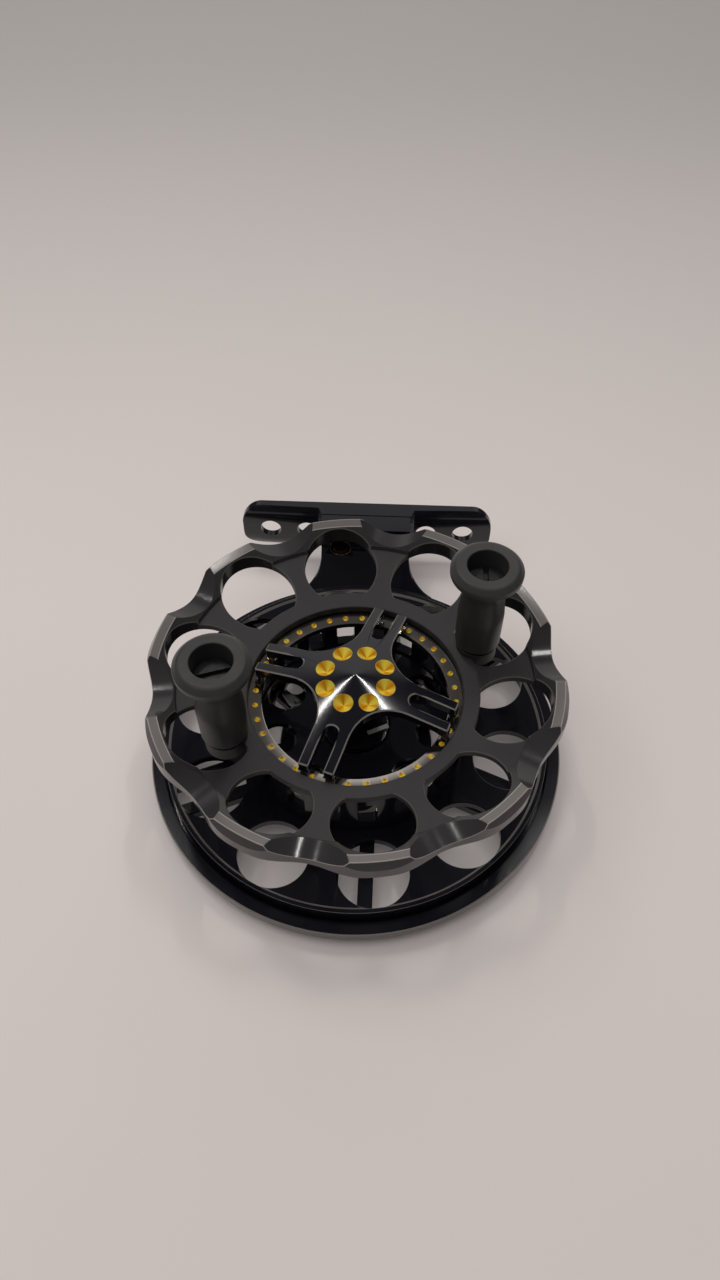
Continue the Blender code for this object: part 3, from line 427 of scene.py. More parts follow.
def matt_black():
    """Moulded handle plastic with a fine dull grain and slight polish from fingers."""
    tree = Finish("matt_black_grip")
    grain = tree.noise(5200.0, 3.0)
    polish = tree.noise(160.0, 4.0)
    return tree.paint(
        base_color=tree.mix(polish, (0.036, 0.036, 0.037), (0.060, 0.060, 0.061)), specular_ior_level=0.45,
        roughness=0.26 + grain * 0.12 + polish * 0.16, normal=tree.bump(grain, 0.25, 0.03 * MM))


def gold(name, deep):
    """Gold anodised dimples whose facets are painted in highlight and shade, or a screw's gold painted dark
    as shade with a painted highlight on its rim.
    """
    tree = Finish(name)
    marks = tree.noise(1800.0, 3.0)
    return tree.paint(base_color=tree.mix(tree.bright_mark_factor(), deep, HIGHLIGHT_GOLD), metallic=0.3,
                      roughness=0.10 + marks * 0.12, normal=tree.bump(marks, 0.08))


def steel():
    """Turned steel with fine rings and a few darker streaks."""
    tree = Finish("turned_steel")
    rings = tree.rings(tree.plan(tree.place)[2], 7000.0)
    streaks = tree.noise(300.0, 4.0)
    return tree.paint(base_color=tree.mix(streaks, (0.36, 0.36, 0.37), (0.58, 0.58, 0.59)), metallic=1.0,
                      roughness=0.22 + rings * 0.16, normal=tree.bump(rings, 0.12))


def blackened_steel():
    """Blackened screw heads with a trace of bare metal."""
    tree = Finish("blackened_steel")
    wear = tree.noise(900.0, 5.0)
    return tree.paint(base_color=tree.mix(wear, (0.05, 0.05, 0.052), (0.14, 0.14, 0.142)), metallic=0.9,
                      roughness=0.30 + wear * 0.18, normal=tree.bump(wear, 0.1))


def carbon():
    """Woven drag washer: two crossed sets of strands."""
    tree = Finish("woven_carbon")
    strands = {"Vector": tree.place, "Scale": 260.0, "Distortion": 0.4}
    warp, weft = [tree.add("ShaderNodeTexWave", {"bands_direction": way}, strands, "Fac") for way in "XY"]
    weave = tree.add("ShaderNodeMix", {"data_type": "FLOAT"}, {0: 0.5, 2: warp, 3: weft})
    return tree.paint(
        base_color=tree.mix(weave, (0.010, 0.010, 0.011), (0.045, 0.045, 0.047)), specular_ior_level=0.4,
        roughness=0.62 - weave * 0.2, normal=tree.bump(weave, 0.3, 0.05 * MM))


def bare_alloy():
    """Dull bare metal at the bottom of the lock nut's slots."""
    tree = Finish("bare_alloy")
    grain = tree.noise(2600.0, 3.0)
    return tree.paint(base_color=tree.mix(grain, (0.50, 0.50, 0.49), (0.66, 0.66, 0.64)), metallic=0.3,
                      roughness=0.45 + grain * 0.15)


def table_paper():
    """Smooth pale board with a faint mottle, painted in shade towards its far end and given a faint glow
    that lifts its shadows.
    """
    tree = Finish("pale_board")
    near = tree.mix(tree.noise(9.0, 4.0), (0.735, 0.675, 0.665), (0.775, 0.715, 0.70))
    board = tree.mix(tree.ramp(tree.split(tree.place).out("Y"), *BOARD_SHADE_FADE), near, BOARD_FAR_SHADE)
    # The faint emission is a painted glow that lightens the board's shadows
    return tree.paint(base_color=board, emission_color=board, emission_strength=0.09,
                      specular_ior_level=0.25, roughness=0.55 + tree.noise(1400.0, 2.0) * 0.2)


# Outlines

def polar(radius, degrees, height=0.0):
    angle = math.radians(degrees)
    return Vector((radius * math.cos(angle), radius * math.sin(angle), height))


def about_axis(degrees):
    return Matrix.Rotation(math.radians(degrees), 4, "Z")


def chord(radius, across):
    """How far out a circle lies at a distance to the side of its centre."""
    return math.sqrt(radius ** 2 - across ** 2)


def rounded(corners, steps=4):
    """A closed outline of (u, v) points; a corner given as (u, v, rounding) is rounded."""
    outline = []
    for i, (u, v, *rounding) in enumerate(corners):
        here = Vector((u, v))
        if not rounding:
            outline.append(here)
            continue
        before = Vector(corners[i - 1][:2]) - here
        after = Vector(corners[(i + 1) % len(corners)][:2]) - here
        reach = rounding[0] / math.tan(before.angle(after) / 2)
        start = here + before.normalized() * min(reach, before.length * 0.49)
        end = here + after.normalized() * min(reach, after.length * 0.49)
        for k in range(steps + 1):
            t = k / steps
            outline.append(start.lerp(here, t).lerp(here.lerp(end, t), t))
    return outline


def inset(outline, distance):
    """An anticlockwise plan outline moved inwards, or outwards for a negative distance."""
    moved = []
    for i, point in enumerate(outline):
        before = (point - outline[i - 1]).normalized()
        after = (outline[(i + 1) % len(outline)] - point).normalized()
        along = (before + after).normalized()
        share = max(along.dot(before), 0.3)
        moved.append(point + Vector((-along.y, along.x, 0.0)) * (distance / share))
    return moved


def circle(radius, steps, centre=Vector((0.0, 0.0, 0.0))):
    return [centre + polar(radius, 360.0 * (i + 0.5) / steps) for i in range(steps)]


def rectangle(length, width, place):
    """Plan corners of a rectangle round a place."""
    corners = ((-1, -1), (1, -1), (1, 1), (-1, 1))
    return [place @ Vector((x * length / 2, y * width / 2, 0.0)) for x, y in corners]


def slot_end(centre, radius, step):
    """The round inner end of a slot that opens away from the axis."""
    turns = [math.radians(turn) for turn in range(-90, 91, step)]
    return [(centre - radius * math.cos(turn), radius * math.sin(turn)) for turn in turns]


def band(inner, outer, low, high):
    """The square section of a turned ring or cylinder."""
    return [(inner, low), (outer, low), (outer, high), (inner, high)]


def at_height(outline, height):
    return [Vector((p.x, p.y, height)) for p in outline]


def prism(outline, *heights):
    """Copies of a plan outline at each height, to be skinned."""
    return [at_height(outline, height) for height in heights]


def plate(outline, low, high, edge):
    """Loops of a flat plate with its upper and lower edges broken."""
    inner = inset(outline, edge)
    return [at_height(inner, low), *prism(outline, low + edge, high - edge), at_height(inner, high)]


def flared_hole(outline, under, top, over):
    """Loops of a hole that flares at both faces of a plate, whose heights follow the radius."""
    loops = []
    for face, lift, grow in ((under, -over, over + EDGE), (under, EDGE, 0.0),
                             (top, -EDGE, 0.0), (top, over, over + EDGE)):
        loops.append([Vector((p.x, p.y, face(p.length) + lift)) for p in inset(outline, -grow)])
    return loops


# Mesh building

def add_loft(bm, loops):
    """Skin a list of point loops and cap its ends."""
    rows = [[bm.verts.new(point) for point in loop] for loop in loops]
    bm.faces.new(rows[0])
    bm.faces.new(rows[-1])
    for low, high in zip(rows, rows[1:]):
        for i in range(len(low)):
            j = (i + 1) % len(low)
            bm.faces.new((low[i], low[j], high[j], high[i]))


def add_turned(bm, outline, steps, place):
    """Turn a closed loop of (radius, height) points about the vertical axis, then place it."""
    rings = []
    for radius, height in outline:
        if radius < 1e-7:
            rings.append([bm.verts.new(place @ Vector((0.0, 0.0, height)))] * steps)
        else:
            rings.append([bm.verts.new(place @ polar(radius, 360.0 * (i + 0.5) / steps, height))
                          for i in range(steps)])
    for lower, upper in zip(rings, rings[1:] + rings[:1]):
        for i in range(steps):
            j = (i + 1) % steps
            corners = list(dict.fromkeys((lower[i], lower[j], upper[j], upper[i])))
            if len(corners) > 2:
                bm.faces.new(corners)


def shade(mesh, angle=10.0):
    mesh.shade_smooth()
    mesh.set_sharp_from_angle(angle=math.radians(angle))


def linked(name, data):
    """A new object in the scene."""
    thing = bpy.data.objects.new(name, data)
    bpy.context.scene.collection.objects.link(thing)
    return thing


def make(name, bm, finish=None):
    """Turn a bmesh into a named piece with its faces pointing out."""
    bmesh.ops.recalc_face_normals(bm, faces=bm.faces)
    mesh = bpy.data.meshes.new(name)
    bm.to_mesh(mesh)
    bm.free()
    if finish:
        mesh.materials.append(finish)
    shade(mesh)
    return linked(name, mesh)


def lofted(name, shapes, finish=None):
    """A piece of one or more shapes, each a list of point loops to be skinned."""
    bm = bmesh.new()
    for loops in shapes:
        add_loft(bm, loops)
    return make(name, bm, finish)


def turned(name, outline, steps, finish=None, places=(Matrix.Identity(4),)):
    """A piece turned from an outline of (radius, height) points, once for each of its places."""
    bm = bmesh.new()
    for place in places:
        add_turned(bm, outline, steps, place)
    return make(name, bm, finish)


def settle(piece):
    """Swap a piece's mesh for what its modifiers make of it."""
    graph = bpy.context.evaluated_depsgraph_get()
    mesh = bpy.data.meshes.new_from_object(piece.evaluated_get(graph))
    old = piece.data
    piece.modifiers.clear()
    piece.data = mesh
    mesh.name = piece.name
    bpy.data.meshes.remove(old)
    shade(mesh)
    return piece


def combine(piece, operation, *helpers):
    """Cut, join or intersect a piece with helper bodies."""
    for helper in helpers:
        step = piece.modifiers.new(helper.name, "BOOLEAN")
        step.operation = operation
        step.solver = "EXACT"
        step.object = helper
    settle(piece)
    for helper in helpers:
        bpy.data.objects.remove(helper)
    return piece


def cut(piece, *helpers):
    return combine(piece, "DIFFERENCE", *helpers)


def opened(piece, distance):
    """A piece's mesh opened for work, with points that lie close together joined."""
    bm = bmesh.new()
    bm.from_mesh(piece.data)
    bmesh.ops.remove_doubles(bm, verts=bm.verts, dist=distance)
    return bm


def close(piece, bm):
    bm.to_mesh(piece.data)
    bm.free()


def soften(piece, width, angle, segments=2, bare=0.0, clamp=True):
    """Break the sharp edges of a piece, and mark the broken edges bright as painted highlights when an
    amount is given.
    """
    close(piece, opened(piece, width / 2))
    step = piece.modifiers.new("broken_edges", "BEVEL")
    step.width = width
    step.segments = segments
    step.limit_method = "ANGLE"
    step.angle_limit = math.radians(angle)
    step.use_clamp_overlap = clamp
    if not bare:
        return settle(piece)
    piece.data.materials.append(piece.data.materials[0])
    step.material = 1
    settle(piece)
    broken = {face.index for face in piece.data.polygons if face.material_index == 1}
    for face in piece.data.polygons:
        face.material_index = 0
    piece.data.materials.pop(index=1)
    return burnish(piece, bare, lambda face: face.index in broken)


def burnish(piece, amount, test):
    """Mark faces of a piece bright: painted highlights and painted reflections, and bare metal on the ledge.
    """
    marks = piece.data.attributes.get(BRIGHT_MARK) or piece.data.attributes.new(BRIGHT_MARK, "FLOAT", "FACE")
    for face in piece.data.polygons:
        if test(face):
            marks.data[face.index].value = amount
    return piece


def from_axis(face):
    return face.center.xy.length


def is_slanted(face):
    """Whether a face leans, as the broken upper edge of a ring does."""
    return 0.3 < face.normal.z < 0.95


def turned_to_rest(piece, degrees=SPOOL_TURN):
    piece.data.transform(about_axis(degrees))
    return piece


# Geometry node trees

def new_geometry_tree(name, sockets):
    """A modifier tree with named inputs, and the first of its input wires."""
    group = bpy.data.node_groups.new(name, "GeometryNodeTree")
    group.is_modifier = True
    group.interface.new_socket("Geometry", in_out="OUTPUT", socket_type="NodeSocketGeometry")
    for socket, kind in {"Geometry": "Geometry", **sockets}.items():
        group.interface.new_socket(socket, in_out="INPUT", socket_type="NodeSocket" + kind)
    tree = Tree(group)
    return tree, tree.add("NodeGroupInput")


def close_geometry_tree(tree, geometry, finish):
    """End a tree with its copies made real and its finish set."""
    real = tree.add("GeometryNodeRealizeInstances", inputs={"Geometry": geometry})
    dressed = tree.add("GeometryNodeSetMaterial", inputs={"Geometry": real, "Material": finish})
    tree.add("NodeGroupOutput", inputs={"Geometry": dressed})
    return tree.node_tree


def run_tree(piece, group, **values):
    """Run a geometry tree on a piece and keep the result as a plain mesh."""
    step = piece.modifiers.new(group.name, "NODES")
    step.node_group = group
    names = {item.name: item.identifier for item in group.interface.items_tree if item.in_out == "INPUT"}
    for name, value in values.items():
        step[names[name]] = value
    return settle(piece)


def ring_of_copies_tree():
    """Copies of a shape, turned in even steps about the spool's axis."""
    tree, given = new_geometry_tree("ring_of_copies", {
        "Count": "Int", "Start": "Float", "Finish": "Material"})
    points = tree.add("GeometryNodePoints", inputs={"Count": given.out("Count")})
    step = math.tau / given.out("Count")
    angle = given.out("Start") + tree.add("GeometryNodeInputIndex") * step
    turn = tree.add("ShaderNodeCombineXYZ", inputs={"Z": angle})
    copies = tree.add("GeometryNodeInstanceOnPoints", inputs={
        "Points": points, "Instance": given.out("Geometry"), "Rotation": turn})
    return close_geometry_tree(tree, copies, given.out("Finish"))


def lobed_flange_tree():
    """A flange trimmed to a wavy outline, then cut by finger holes and by notches between its lobes."""
    tree, given = new_geometry_tree("lobed_flange", {
        "Trim": "Object", "Holes": "Object", "Notches": "Object", "Lobes": "Int", "Rim": "Float",
        "Inset": "Float", "Sharpness": "Float", "Finish": "Material"})
    x, y, radius = tree.plan(tree.add("GeometryNodeInputPosition"))
    wave = tree.math("COSINE", tree.math("ARCTAN2", y, x) * given.out("Lobes"))
    pull = given.out("Inset") * ((1.0 - wave) / 2.0) ** given.out("Sharpness")
    inward = tree.add("ShaderNodeCombineXYZ", inputs={
        "X": 0.0 - x * pull / radius, "Y": 0.0 - y * pull / radius})
    on_wall = tree.math("LESS_THAN", radius, given.out("Rim") + 0.5 * MM)
    trim, holes, notches = [
        tree.add("GeometryNodeObjectInfo", inputs={"Object": given.out(cutter)}, output="Geometry")
        for cutter in ("Trim", "Holes", "Notches")]
    trim = tree.add("GeometryNodeSetPosition", inputs={
        "Geometry": trim, "Selection": on_wall, "Offset": inward})
    shape = given.out("Geometry")
    for cutter in (trim, holes, notches):
        shape = tree.add("GeometryNodeMeshBoolean", {"operation": "DIFFERENCE", "solver": "EXACT"},
                         {"Mesh 1": shape, "Mesh 2": cutter})
    return close_geometry_tree(tree, shape, given.out("Finish"))


RING_OF_COPIES = ring_of_copies_tree()
LOBED_FLANGE = lobed_flange_tree()


def ring_of(piece, count, start=0.0):
    """A piece repeated in a ring about the spool's axis."""
    finish = piece.active_material
    return run_tree(piece, RING_OF_COPIES, Count=count, Start=math.radians(start), Finish=finish)


# Front flange

def front_top_at(radius):
    """Height of the front flange's upper face: dish, step and slope."""
    if radius < SLOPE_FOOT_R:
        step_r = SLOPE_FOOT_R - GAP
        dish = front_top + FRONT_RISE * (min(radius, step_r) - OPENING_R)
        return dish + (slope_foot_z - dish) * max(radius - step_r, 0.0) / GAP
    share = (radius - SLOPE_FOOT_R) / (LAND_INNER_R - SLOPE_FOOT_R)
    return slope_foot_z + (land_inner_z - slope_foot_z) * share


def front_under_at(radius):
    return front_low.z + FRONT_RISE * (radius - OPENING_R)


def front_blank(finish):
    """The flange before it is cut: a dish that climbs to the rim's land."""
    step_r = SLOPE_FOOT_R - GAP
    corners = [
        (OPENING_R, front_low.z, 0.2 * MM), (OPENING_R, front_top, 0.35 * MM),
        (step_r, front_top_at(step_r - GAP / 10), FINE), (SLOPE_FOOT_R, slope_foot_z, CREASE),
        (LAND_INNER_R, land_inner_z, 0.8 * MM), (LAND_R, land_z, 0.2 * MM),
        (RIM_R, land_z - RIM_CHAMFER_DROP, 0.15 * MM), (RIM_R, land_z - RIM_WALL_FOOT, 0.25 * MM),
        (RIM_UNDER_R, front_under_at(RIM_UNDER_R), 0.5 * MM),
    ]
    return turned("front_flange", rounded(corners, 3), 720, finish)


def finger_hole():
    """One round hole, stopped by the ring round the opening."""
    outline = circle(FRONT_HOLE_R, 120, polar(FRONT_HOLE_RING_R, 0.0))
    outline = [p if p.length > FRONT_INNER_RING_R else p * (FRONT_INNER_RING_R / p.length) for p in outline]
    loops = flared_hole(outline, front_under_at, front_top_at, 0.5 * MM)
    bottom = at_height(loops[0], front_low.z - FRONT_THICKNESS)
    top = at_height(loops[-1], land_z + FRONT_THICKNESS)
    return lofted("finger_holes", [[bottom, *loops, top]])


def finger_notch():
    """A lens-shaped bar along the radius whose round underside makes one finger notch."""
    half = math.acos(1 - 1.5 * NOTCH_DEPTH / NOTCH_R)
    steps = 48
    arc = [half * (2 * i / steps - 1) for i in range(steps + 1)]
    floor = land_z - NOTCH_DEPTH
    section = [(NOTCH_R * math.sin(a), floor + NOTCH_R * (1 - math.cos(a))) for a in arc]
    ends = (SLOPE_FOOT_R - GAP, RIM_R + 2 * MM)
    return lofted("finger_notches", [[[Vector((radius, y, z)) for y, z in section] for radius in ends]])


def front_flange(finish):
    """The blank drawn in between its lobes, with holes, notches and a bored boss for each handle."""
    piece = front_blank(finish)
    low, high = land_z - 2 * RIM_WALL_FOOT, land_z + RIM_STEP
    outer = RIM_R + 3 * MM
    trim = turned("trim_ring", rounded([(RIM_R, low), (RIM_R, high), (outer, high), (outer, low)]), 690)
    holes = ring_of(finger_hole(), LOBES)
    notches = ring_of(finger_notch(), LOBES, 180.0 / LOBES)
    run_tree(piece, LOBED_FLANGE, Trim=trim, Holes=holes, Notches=notches, Lobes=LOBES, Rim=RIM_R,
             Inset=NOTCH_INSET, Sharpness=NOTCH_SHARPNESS, Finish=finish)
    for cutter in (trim, holes, notches):
        bpy.data.objects.remove(cutter)
    break_creases(piece)
    low = front_low.z + GAP
    spots = [Matrix.Translation(polar(HANDLE_RING_R, 360.0 * lobe / LOBES)) for lobe in HANDLES.values()]
    boss = rounded([(0.0, low), (HANDLE_BOSS_R, low), (HANDLE_BOSS_R, boss_top, 0.2 * MM), (0.0, boss_top)])
    bore = band(0.0, HANDLE_BORE_R, low - 2 * GAP, boss_top + GAP)
    combine(piece, "UNION", turned("handle_bosses", boss, 64, places=spots))
    cut(piece, turned("handle_bores", bore, 48, places=spots))
    # Hole edges and the land's creases are marked bright as painted highlights, and the land gets a painted
    # sheen
    burnish(piece, HOLE_EDGE_HIGHLIGHT, is_hole_edge)
    burnish(piece, LAND_SHEEN, is_land)
    burnish(piece, CREASE_HIGHLIGHT, is_land_crease)
    return turned_to_rest(piece)


def on_notch(point):
    """Whether a point lies on the floor of one of the finger notches."""
    radius = point.xy.length
    step = math.tau / LOBES
    off = math.atan2(point.y, point.x) % step - step / 2
    along, across = radius * math.cos(off), radius * math.sin(off)
    if abs(across) > NOTCH_R * 0.7 or along < SLOPE_FOOT_R:
        return False
    return abs(point.z - land_z + NOTCH_DEPTH - NOTCH_R + chord(NOTCH_R, across)) < SLIVER / 2


def break_creases(piece):
    """Break the edges where the notches meet the lobes, and mark them bright as painted highlights."""
    bm = opened(piece, SLIVER)
    creases = []
    for edge in bm.edges:
        on_lobe = all(vert.co.xy.length > LAND_INNER_R - 2 * CREASE for vert in edge.verts)
        if len(edge.link_faces) == 2 and on_lobe and all(on_notch(vert.co) for vert in edge.verts):
            floors = [on_notch(face.calc_center_median()) for face in edge.link_faces]
            if floors.count(True) == 1:
                creases.append(edge)
    bare = bm.faces.layers.float.new(BRIGHT_MARK)
    made = bmesh.ops.bevel(bm, geom=creases, offset=CREASE, offset_type="OFFSET", segments=1, profile=0.5,
                           affect="EDGES", clamp_overlap=False)
    for face in made["faces"]:
        face[bare] = CREASE_HIGHLIGHT
    close(piece, bm)


def is_hole_edge(face):
    return 0.3 < face.normal.z < 0.8 and OPENING_R + EDGE * 3 < from_axis(face) < LAND_INNER_R


def is_land(face):
    """Whether a face is part of the rim's land, and not of a broken edge that leans otherwise."""
    radius = from_axis(face)
    drop = LAND_DROP * max(LAND_R - radius, 0.0) / (LAND_R - LAND_INNER_R)
    level = abs(face.normal.z - LAND_LEVEL) <= LAND_LEVEL_SPREAD or radius >= LAND_R - CREASE
    return level and radius > LAND_INNER_R - EDGE and abs(face.center.z - land_z + drop) < EDGE


def is_land_crease(face):
    """Whether a face belongs to the thin breaks along the land's two edges."""
    radius, height = from_axis(face), face.center.z - land_z
    inner = abs(radius - LAND_INNER_R) < CREASE and abs(height + LAND_DROP) < CREASE
    return inner or (abs(radius - LAND_R) < OUTER_CREASE[0] and abs(height) < OUTER_CREASE[1])


# Gold dimples

def cone_cutter(radius, depth):
    """A cone that cuts a dimple of a radius and depth."""
    return [(0.0, -depth), (2 * radius, depth), (0.0, depth)]


def cone_skin(radius, depth, skin):
    """A thin skin that lies in a conical dimple."""
    radius += SLIVER
    return [(0.0, -depth - skin), (radius, -skin / 2), (radius - skin, 0.0), (0.0, -depth + skin)]


def faceted(piece):
    """Leave a piece's faces flat, so that its cones keep the marks of a cutter."""
    piece.data.shade_flat()
    return piece


def fanned(piece):
    """Flat facets painted lighter and darker at random, a painted fan of highlights and shade like the
    reflections in a cut cone.
    """
    faceted(piece)
    for share in FACET_HIGHLIGHTS:
        burnish(piece, share, lambda face: math.sin(face.index * 12.99) * 0.5 + 0.5 > share - 0.2)
    return piece


# Drum and rear flange

def ledge_at(radius):
    """Height of the ledge inside the front opening, which falls towards the axis."""
    return ledge_top - LEDGE_SLOPE * (OPENING_R - radius)


def pit_place():
    lean = Matrix.Rotation(-math.atan(LEDGE_SLOPE), 4, "Y")
    return Matrix.Translation((PIT_RING_R, 0.0, ledge_at(PIT_RING_R))) @ lean


def spool_drum(finish):
    low = drum_low.z
    inner = DRUM_R - DRUM_WALL
    ledge = DRUM_R - LEDGE_WIDTH
    under = ledge_top - LEDGE_THICKNESS
    web = low + WEB_FLOOR
    tube = TUBE_R - TUBE_WALL
    corners = [
        (tube, low, FINE), (tube, web_top, FINE), (inner, web_top, 0.4 * MM),
        (inner, under - GAP, 0.3 * MM), (ledge, under, FINE), (ledge, ledge_at(ledge), 0.2 * MM),
        (OPENING_R, ledge_top), (DRUM_R, ledge_top, FINE), (DRUM_R, low, FINE), (inner, low, FINE),
        (inner, web, 0.3 * MM), (TUBE_R, web, 0.3 * MM), (TUBE_R, low, FINE),
    ]
    piece = turned("drum", rounded(corners, 3), 240, finish)
    sill = web_top + WINDOW_SILL
    half = WINDOW_WIDTH / 2
    opening = [(u, v, WINDOW_CORNER) for u, v in band(-half, half, sill, sill + WINDOW_HEIGHT)]
    window = [[Vector((radius, u, v)) for u, v in rounded(opening, 5)]
              for radius in (inner - DRUM_WALL, DRUM_R + DRUM_WALL)]
    web_hole = circle(WEB_HOLE_R, 64, polar(WEB_HOLE_RING_R, 0.0))
    web_cut = prism(web_hole, web - GAP, web_top + GAP)
    cut(piece, ring_of(lofted("windows", [window]), WINDOWS),
        ring_of(lofted("web_holes", [web_cut]), WEB_HOLES, WEB_HOLE_TURN),
        ring_of(turned("pits", cone_cutter(PIT_R, PIT_DEPTH), 24, places=[pit_place()]), PITS))
    burnish(piece, LEDGE_BARE, lambda face: face.normal.z > 0.9 and ledge < from_axis(face) < OPENING_R)
    return turned_to_rest(piece)


def gold_pits(finish):
    pit = turned("gold_pits", cone_skin(PIT_R, PIT_DEPTH, PIT_SKIN), 24, finish, [pit_place()])
    return fanned(turned_to_rest(ring_of(pit, PITS)))


def rear_flange(finish):
    low = rear_low.z
    high = low + REAR_THICKNESS
    lip = rear_high.z
    lip_r = REAR_R - REAR_LIP_WIDTH
    skirt = low - REAR_SKIRT_DROP
    skirt_r = REAR_R - REAR_SKIRT
    inner = DRUM_R - REAR_SEAT
    corners = [
        (inner, low), (skirt_r, low, FINE), (skirt_r, skirt, FINE), (REAR_R, skirt, FINE),
        (REAR_R, lip, 0.2 * MM), (lip_r, lip, 0.2 * MM), (lip_r - (lip - high), high, FINE), (inner, high),
    ]
    piece = turned("rear_flange", rounded(corners, 3), 360, finish)
    outline = circle(REAR_HOLE_R, 96, polar(REAR_HOLE_RING_R, 0.0))
    hole = flared_hole(outline, lambda radius: low, lambda radius: high, 0.4 * MM)
    cut(piece, ring_of(lofted("rear_holes", [hole]), LOBES))
    # The slanted lip is marked bright as a painted highlight
    slope_r = lip_r - REAR_LIP_WIDTH
    burnish(piece, REAR_LIP_HIGHLIGHT, lambda face: is_slanted(face) and from_axis(face) > slope_r)
    return turned_to_rest(piece)


# Hub star

def star_outline():
    """Four forked arms with round-ended slots, joined by hollow corners."""
    slot = STAR_SLOT / 2
    edge = slot + STAR_PRONG
    hollow = edge + STAR_FILLET_R
    arm = [(STAR_REACH, -edge), (STAR_REACH, -slot), *slot_end(STAR_SLOT_START + slot, slot, 6),
           (STAR_REACH, slot), (STAR_REACH, edge)]
    for turn in range(0, 91, 5):
        corner = polar(STAR_FILLET_R, turn)
        arm.append((hollow - corner.y, hollow - corner.x))
    return [about_axis(90.0 * k) @ Vector((x, y, 0.0)) for k in range(STAR_ARMS) for x, y in arm]


def star_height(radius):
    """Height of the star's upper face over a radius."""
    return star_high.z - STAR_SLOPE * radius


def star_legs():
    """Short legs under the prongs, which stand on the ledge."""
    near, far = STAR_REACH - STAR_LEG, STAR_REACH - GAP / 2
    across = (STAR_SLOT + STAR_PRONG) / 2
    legs = []
    for k in range(STAR_ARMS):
        for side in (-across, across):
            place = about_axis(90.0 * k) @ Matrix.Translation(((near + far) / 2, side, 0.0))
            foot = rectangle(far - near, STAR_PRONG - GAP, place)
            top = min(star_height(p.length) for p in foot) - STAR_THICKNESS / 2
            legs.append(prism(foot, ledge_at(near), top))
    return lofted("star_legs", legs)


def cup_places():
    """Where each gold cup sits, with its axis square to the cone round it."""
    places = []
    for k in range(CUPS):
        spot = polar(CUP_RING_R, 360.0 * k / CUPS)
        out = spot.normalized() * STAR_SLOPE
        lean = Vector((0.0, 0.0, 1.0)).rotation_difference(Vector((out.x, out.y, 1.0)))
        spot.z = star_height(spot.length)
        places.append(Matrix.Translation(spot) @ lean.to_matrix().to_4x4())
    return places


def hub_star(finish):
    """Forked arms cut from a shallow cone, on legs, with cups in the top."""
    peak = star_high.z
    span = 2 * OPENING_R
    brim = star_height(span)
    piece = lofted("star", [prism(star_outline(), front_low.z, peak + STAR_THICKNESS)], finish)
    cone = [(0.0, peak - STAR_THICKNESS), (span, brim - STAR_THICKNESS), (span, brim), (0.0, peak)]
    combine(piece, "INTERSECT", turned("star_cone", cone, 180))
    combine(piece, "UNION", star_legs())
    cut(piece, turned("cup_cutters", cone_cutter(CUP_R, CUP_DEPTH), 48, places=cup_places()))
    # The star's broken edges are marked bright as painted highlights
    soften(piece, 0.26 * MM, 45.0, segments=1, bare=STAR_EDGE_HIGHLIGHT, clamp=False)
    return faceted(turned_to_rest(piece, SPOOL_TURN + STAR_TURN))


def gold_cups(finish):
    cups = turned("gold_cups", cone_skin(CUP_R, CUP_DEPTH, CUP_SKIN), 40, finish, cup_places())
    return fanned(turned_to_rest(cups, SPOOL_TURN + STAR_TURN))


# Handles

def upright(low, high):
    """The place of an upright solid's axis, from the corners of its box."""
    middle = (low + high) / 2
    return Matrix.Translation((middle.x, middle.y, 0.0))


def handle_grip(name, finish):
    """A turned grip with a slight waist, a round-edged cap and a deep recess for its screw."""
    low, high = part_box(name.replace("handle", "handle_knob"))
    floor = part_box(name.replace("handle", "handle_post"))[1].z
    fine = 0.1 * MM
    side = [(r * MM, low.z + z * MM, rounding * MM) for r, z, rounding in GRIP_SIDE]
    cap = [(r * MM, high.z + z * MM, rounding * MM) for r, z, rounding in GRIP_CAP]
    corners = [(HANDLE_BORE_R, low.z, fine), *side, *cap, (GRIP_RECESS_R, high.z, 0.35 * MM),
               (GRIP_RECESS_R, floor, fine), (HANDLE_BORE_R, floor, fine)]
    piece = turned(name + "_grip", rounded(corners, 6), 96, finish, [upright(low, high)])
    shade(piece.data, 28.0)
    return piece


def handle_screw(name, finish):
    low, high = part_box(name.replace("handle", "handle_screw"))
    head = (high.x - low.x) / 2
    floor = high.z - SCREW_HEAD
    corners = [(0.0, low.z), (SCREW_SHANK, low.z, 0.1 * MM), (SCREW_SHANK, floor), (head, floor, 0.1 * MM),
               (head, high.z, 0.35 * MM), (0.0, high.z)]
    place = upright(low, high)
    piece = turned(name + "_screw_head", rounded(corners), 64, finish, [place])
    slot = rectangle(4 * head, SCREW_SLOT, place @ about_axis(SPOOL_TURN + SCREW_TURNS[name]))
    return cut(piece, lofted("screw_slot", [prism(slot, high.z - SCREW_SLOT_DEPTH, high.z + GAP)]))


# Frame

def frame_ring(finish):
    inner = ring_high.x - RING_WIDTH
    shelf = ring_low.z + RING_SHELF
    top = ring_high.z
    corners = [
        (inner - RING_SHELF, ring_low.z + 0.05 * MM), (ring_high.x, ring_low.z, 0.3 * MM),
        (ring_high.x, top - RING_EDGE), (ring_high.x - RING_EDGE, top), (inner + RING_EDGE, top),
        (inner, top - RING_EDGE), (inner, shelf, 0.1 * MM), (inner - RING_SHELF, shelf, 0.1 * MM),
    ]
    piece = turned("ring", rounded(corners, 3), 360, finish)
    middle = inner + RING_WIDTH / 2
    # The outer wall is painted lighter as a painted reflection of the board, and the slanted outer edge as a
    # painted highlight
    burnish(piece, RING_WALL_REFLECTION, lambda face: abs(face.normal.z) < 0.2 and from_axis(face) > middle)
    return burnish(piece, RING_EDGE_HIGHLIGHT, lambda face: is_slanted(face) and from_axis(face) > middle)


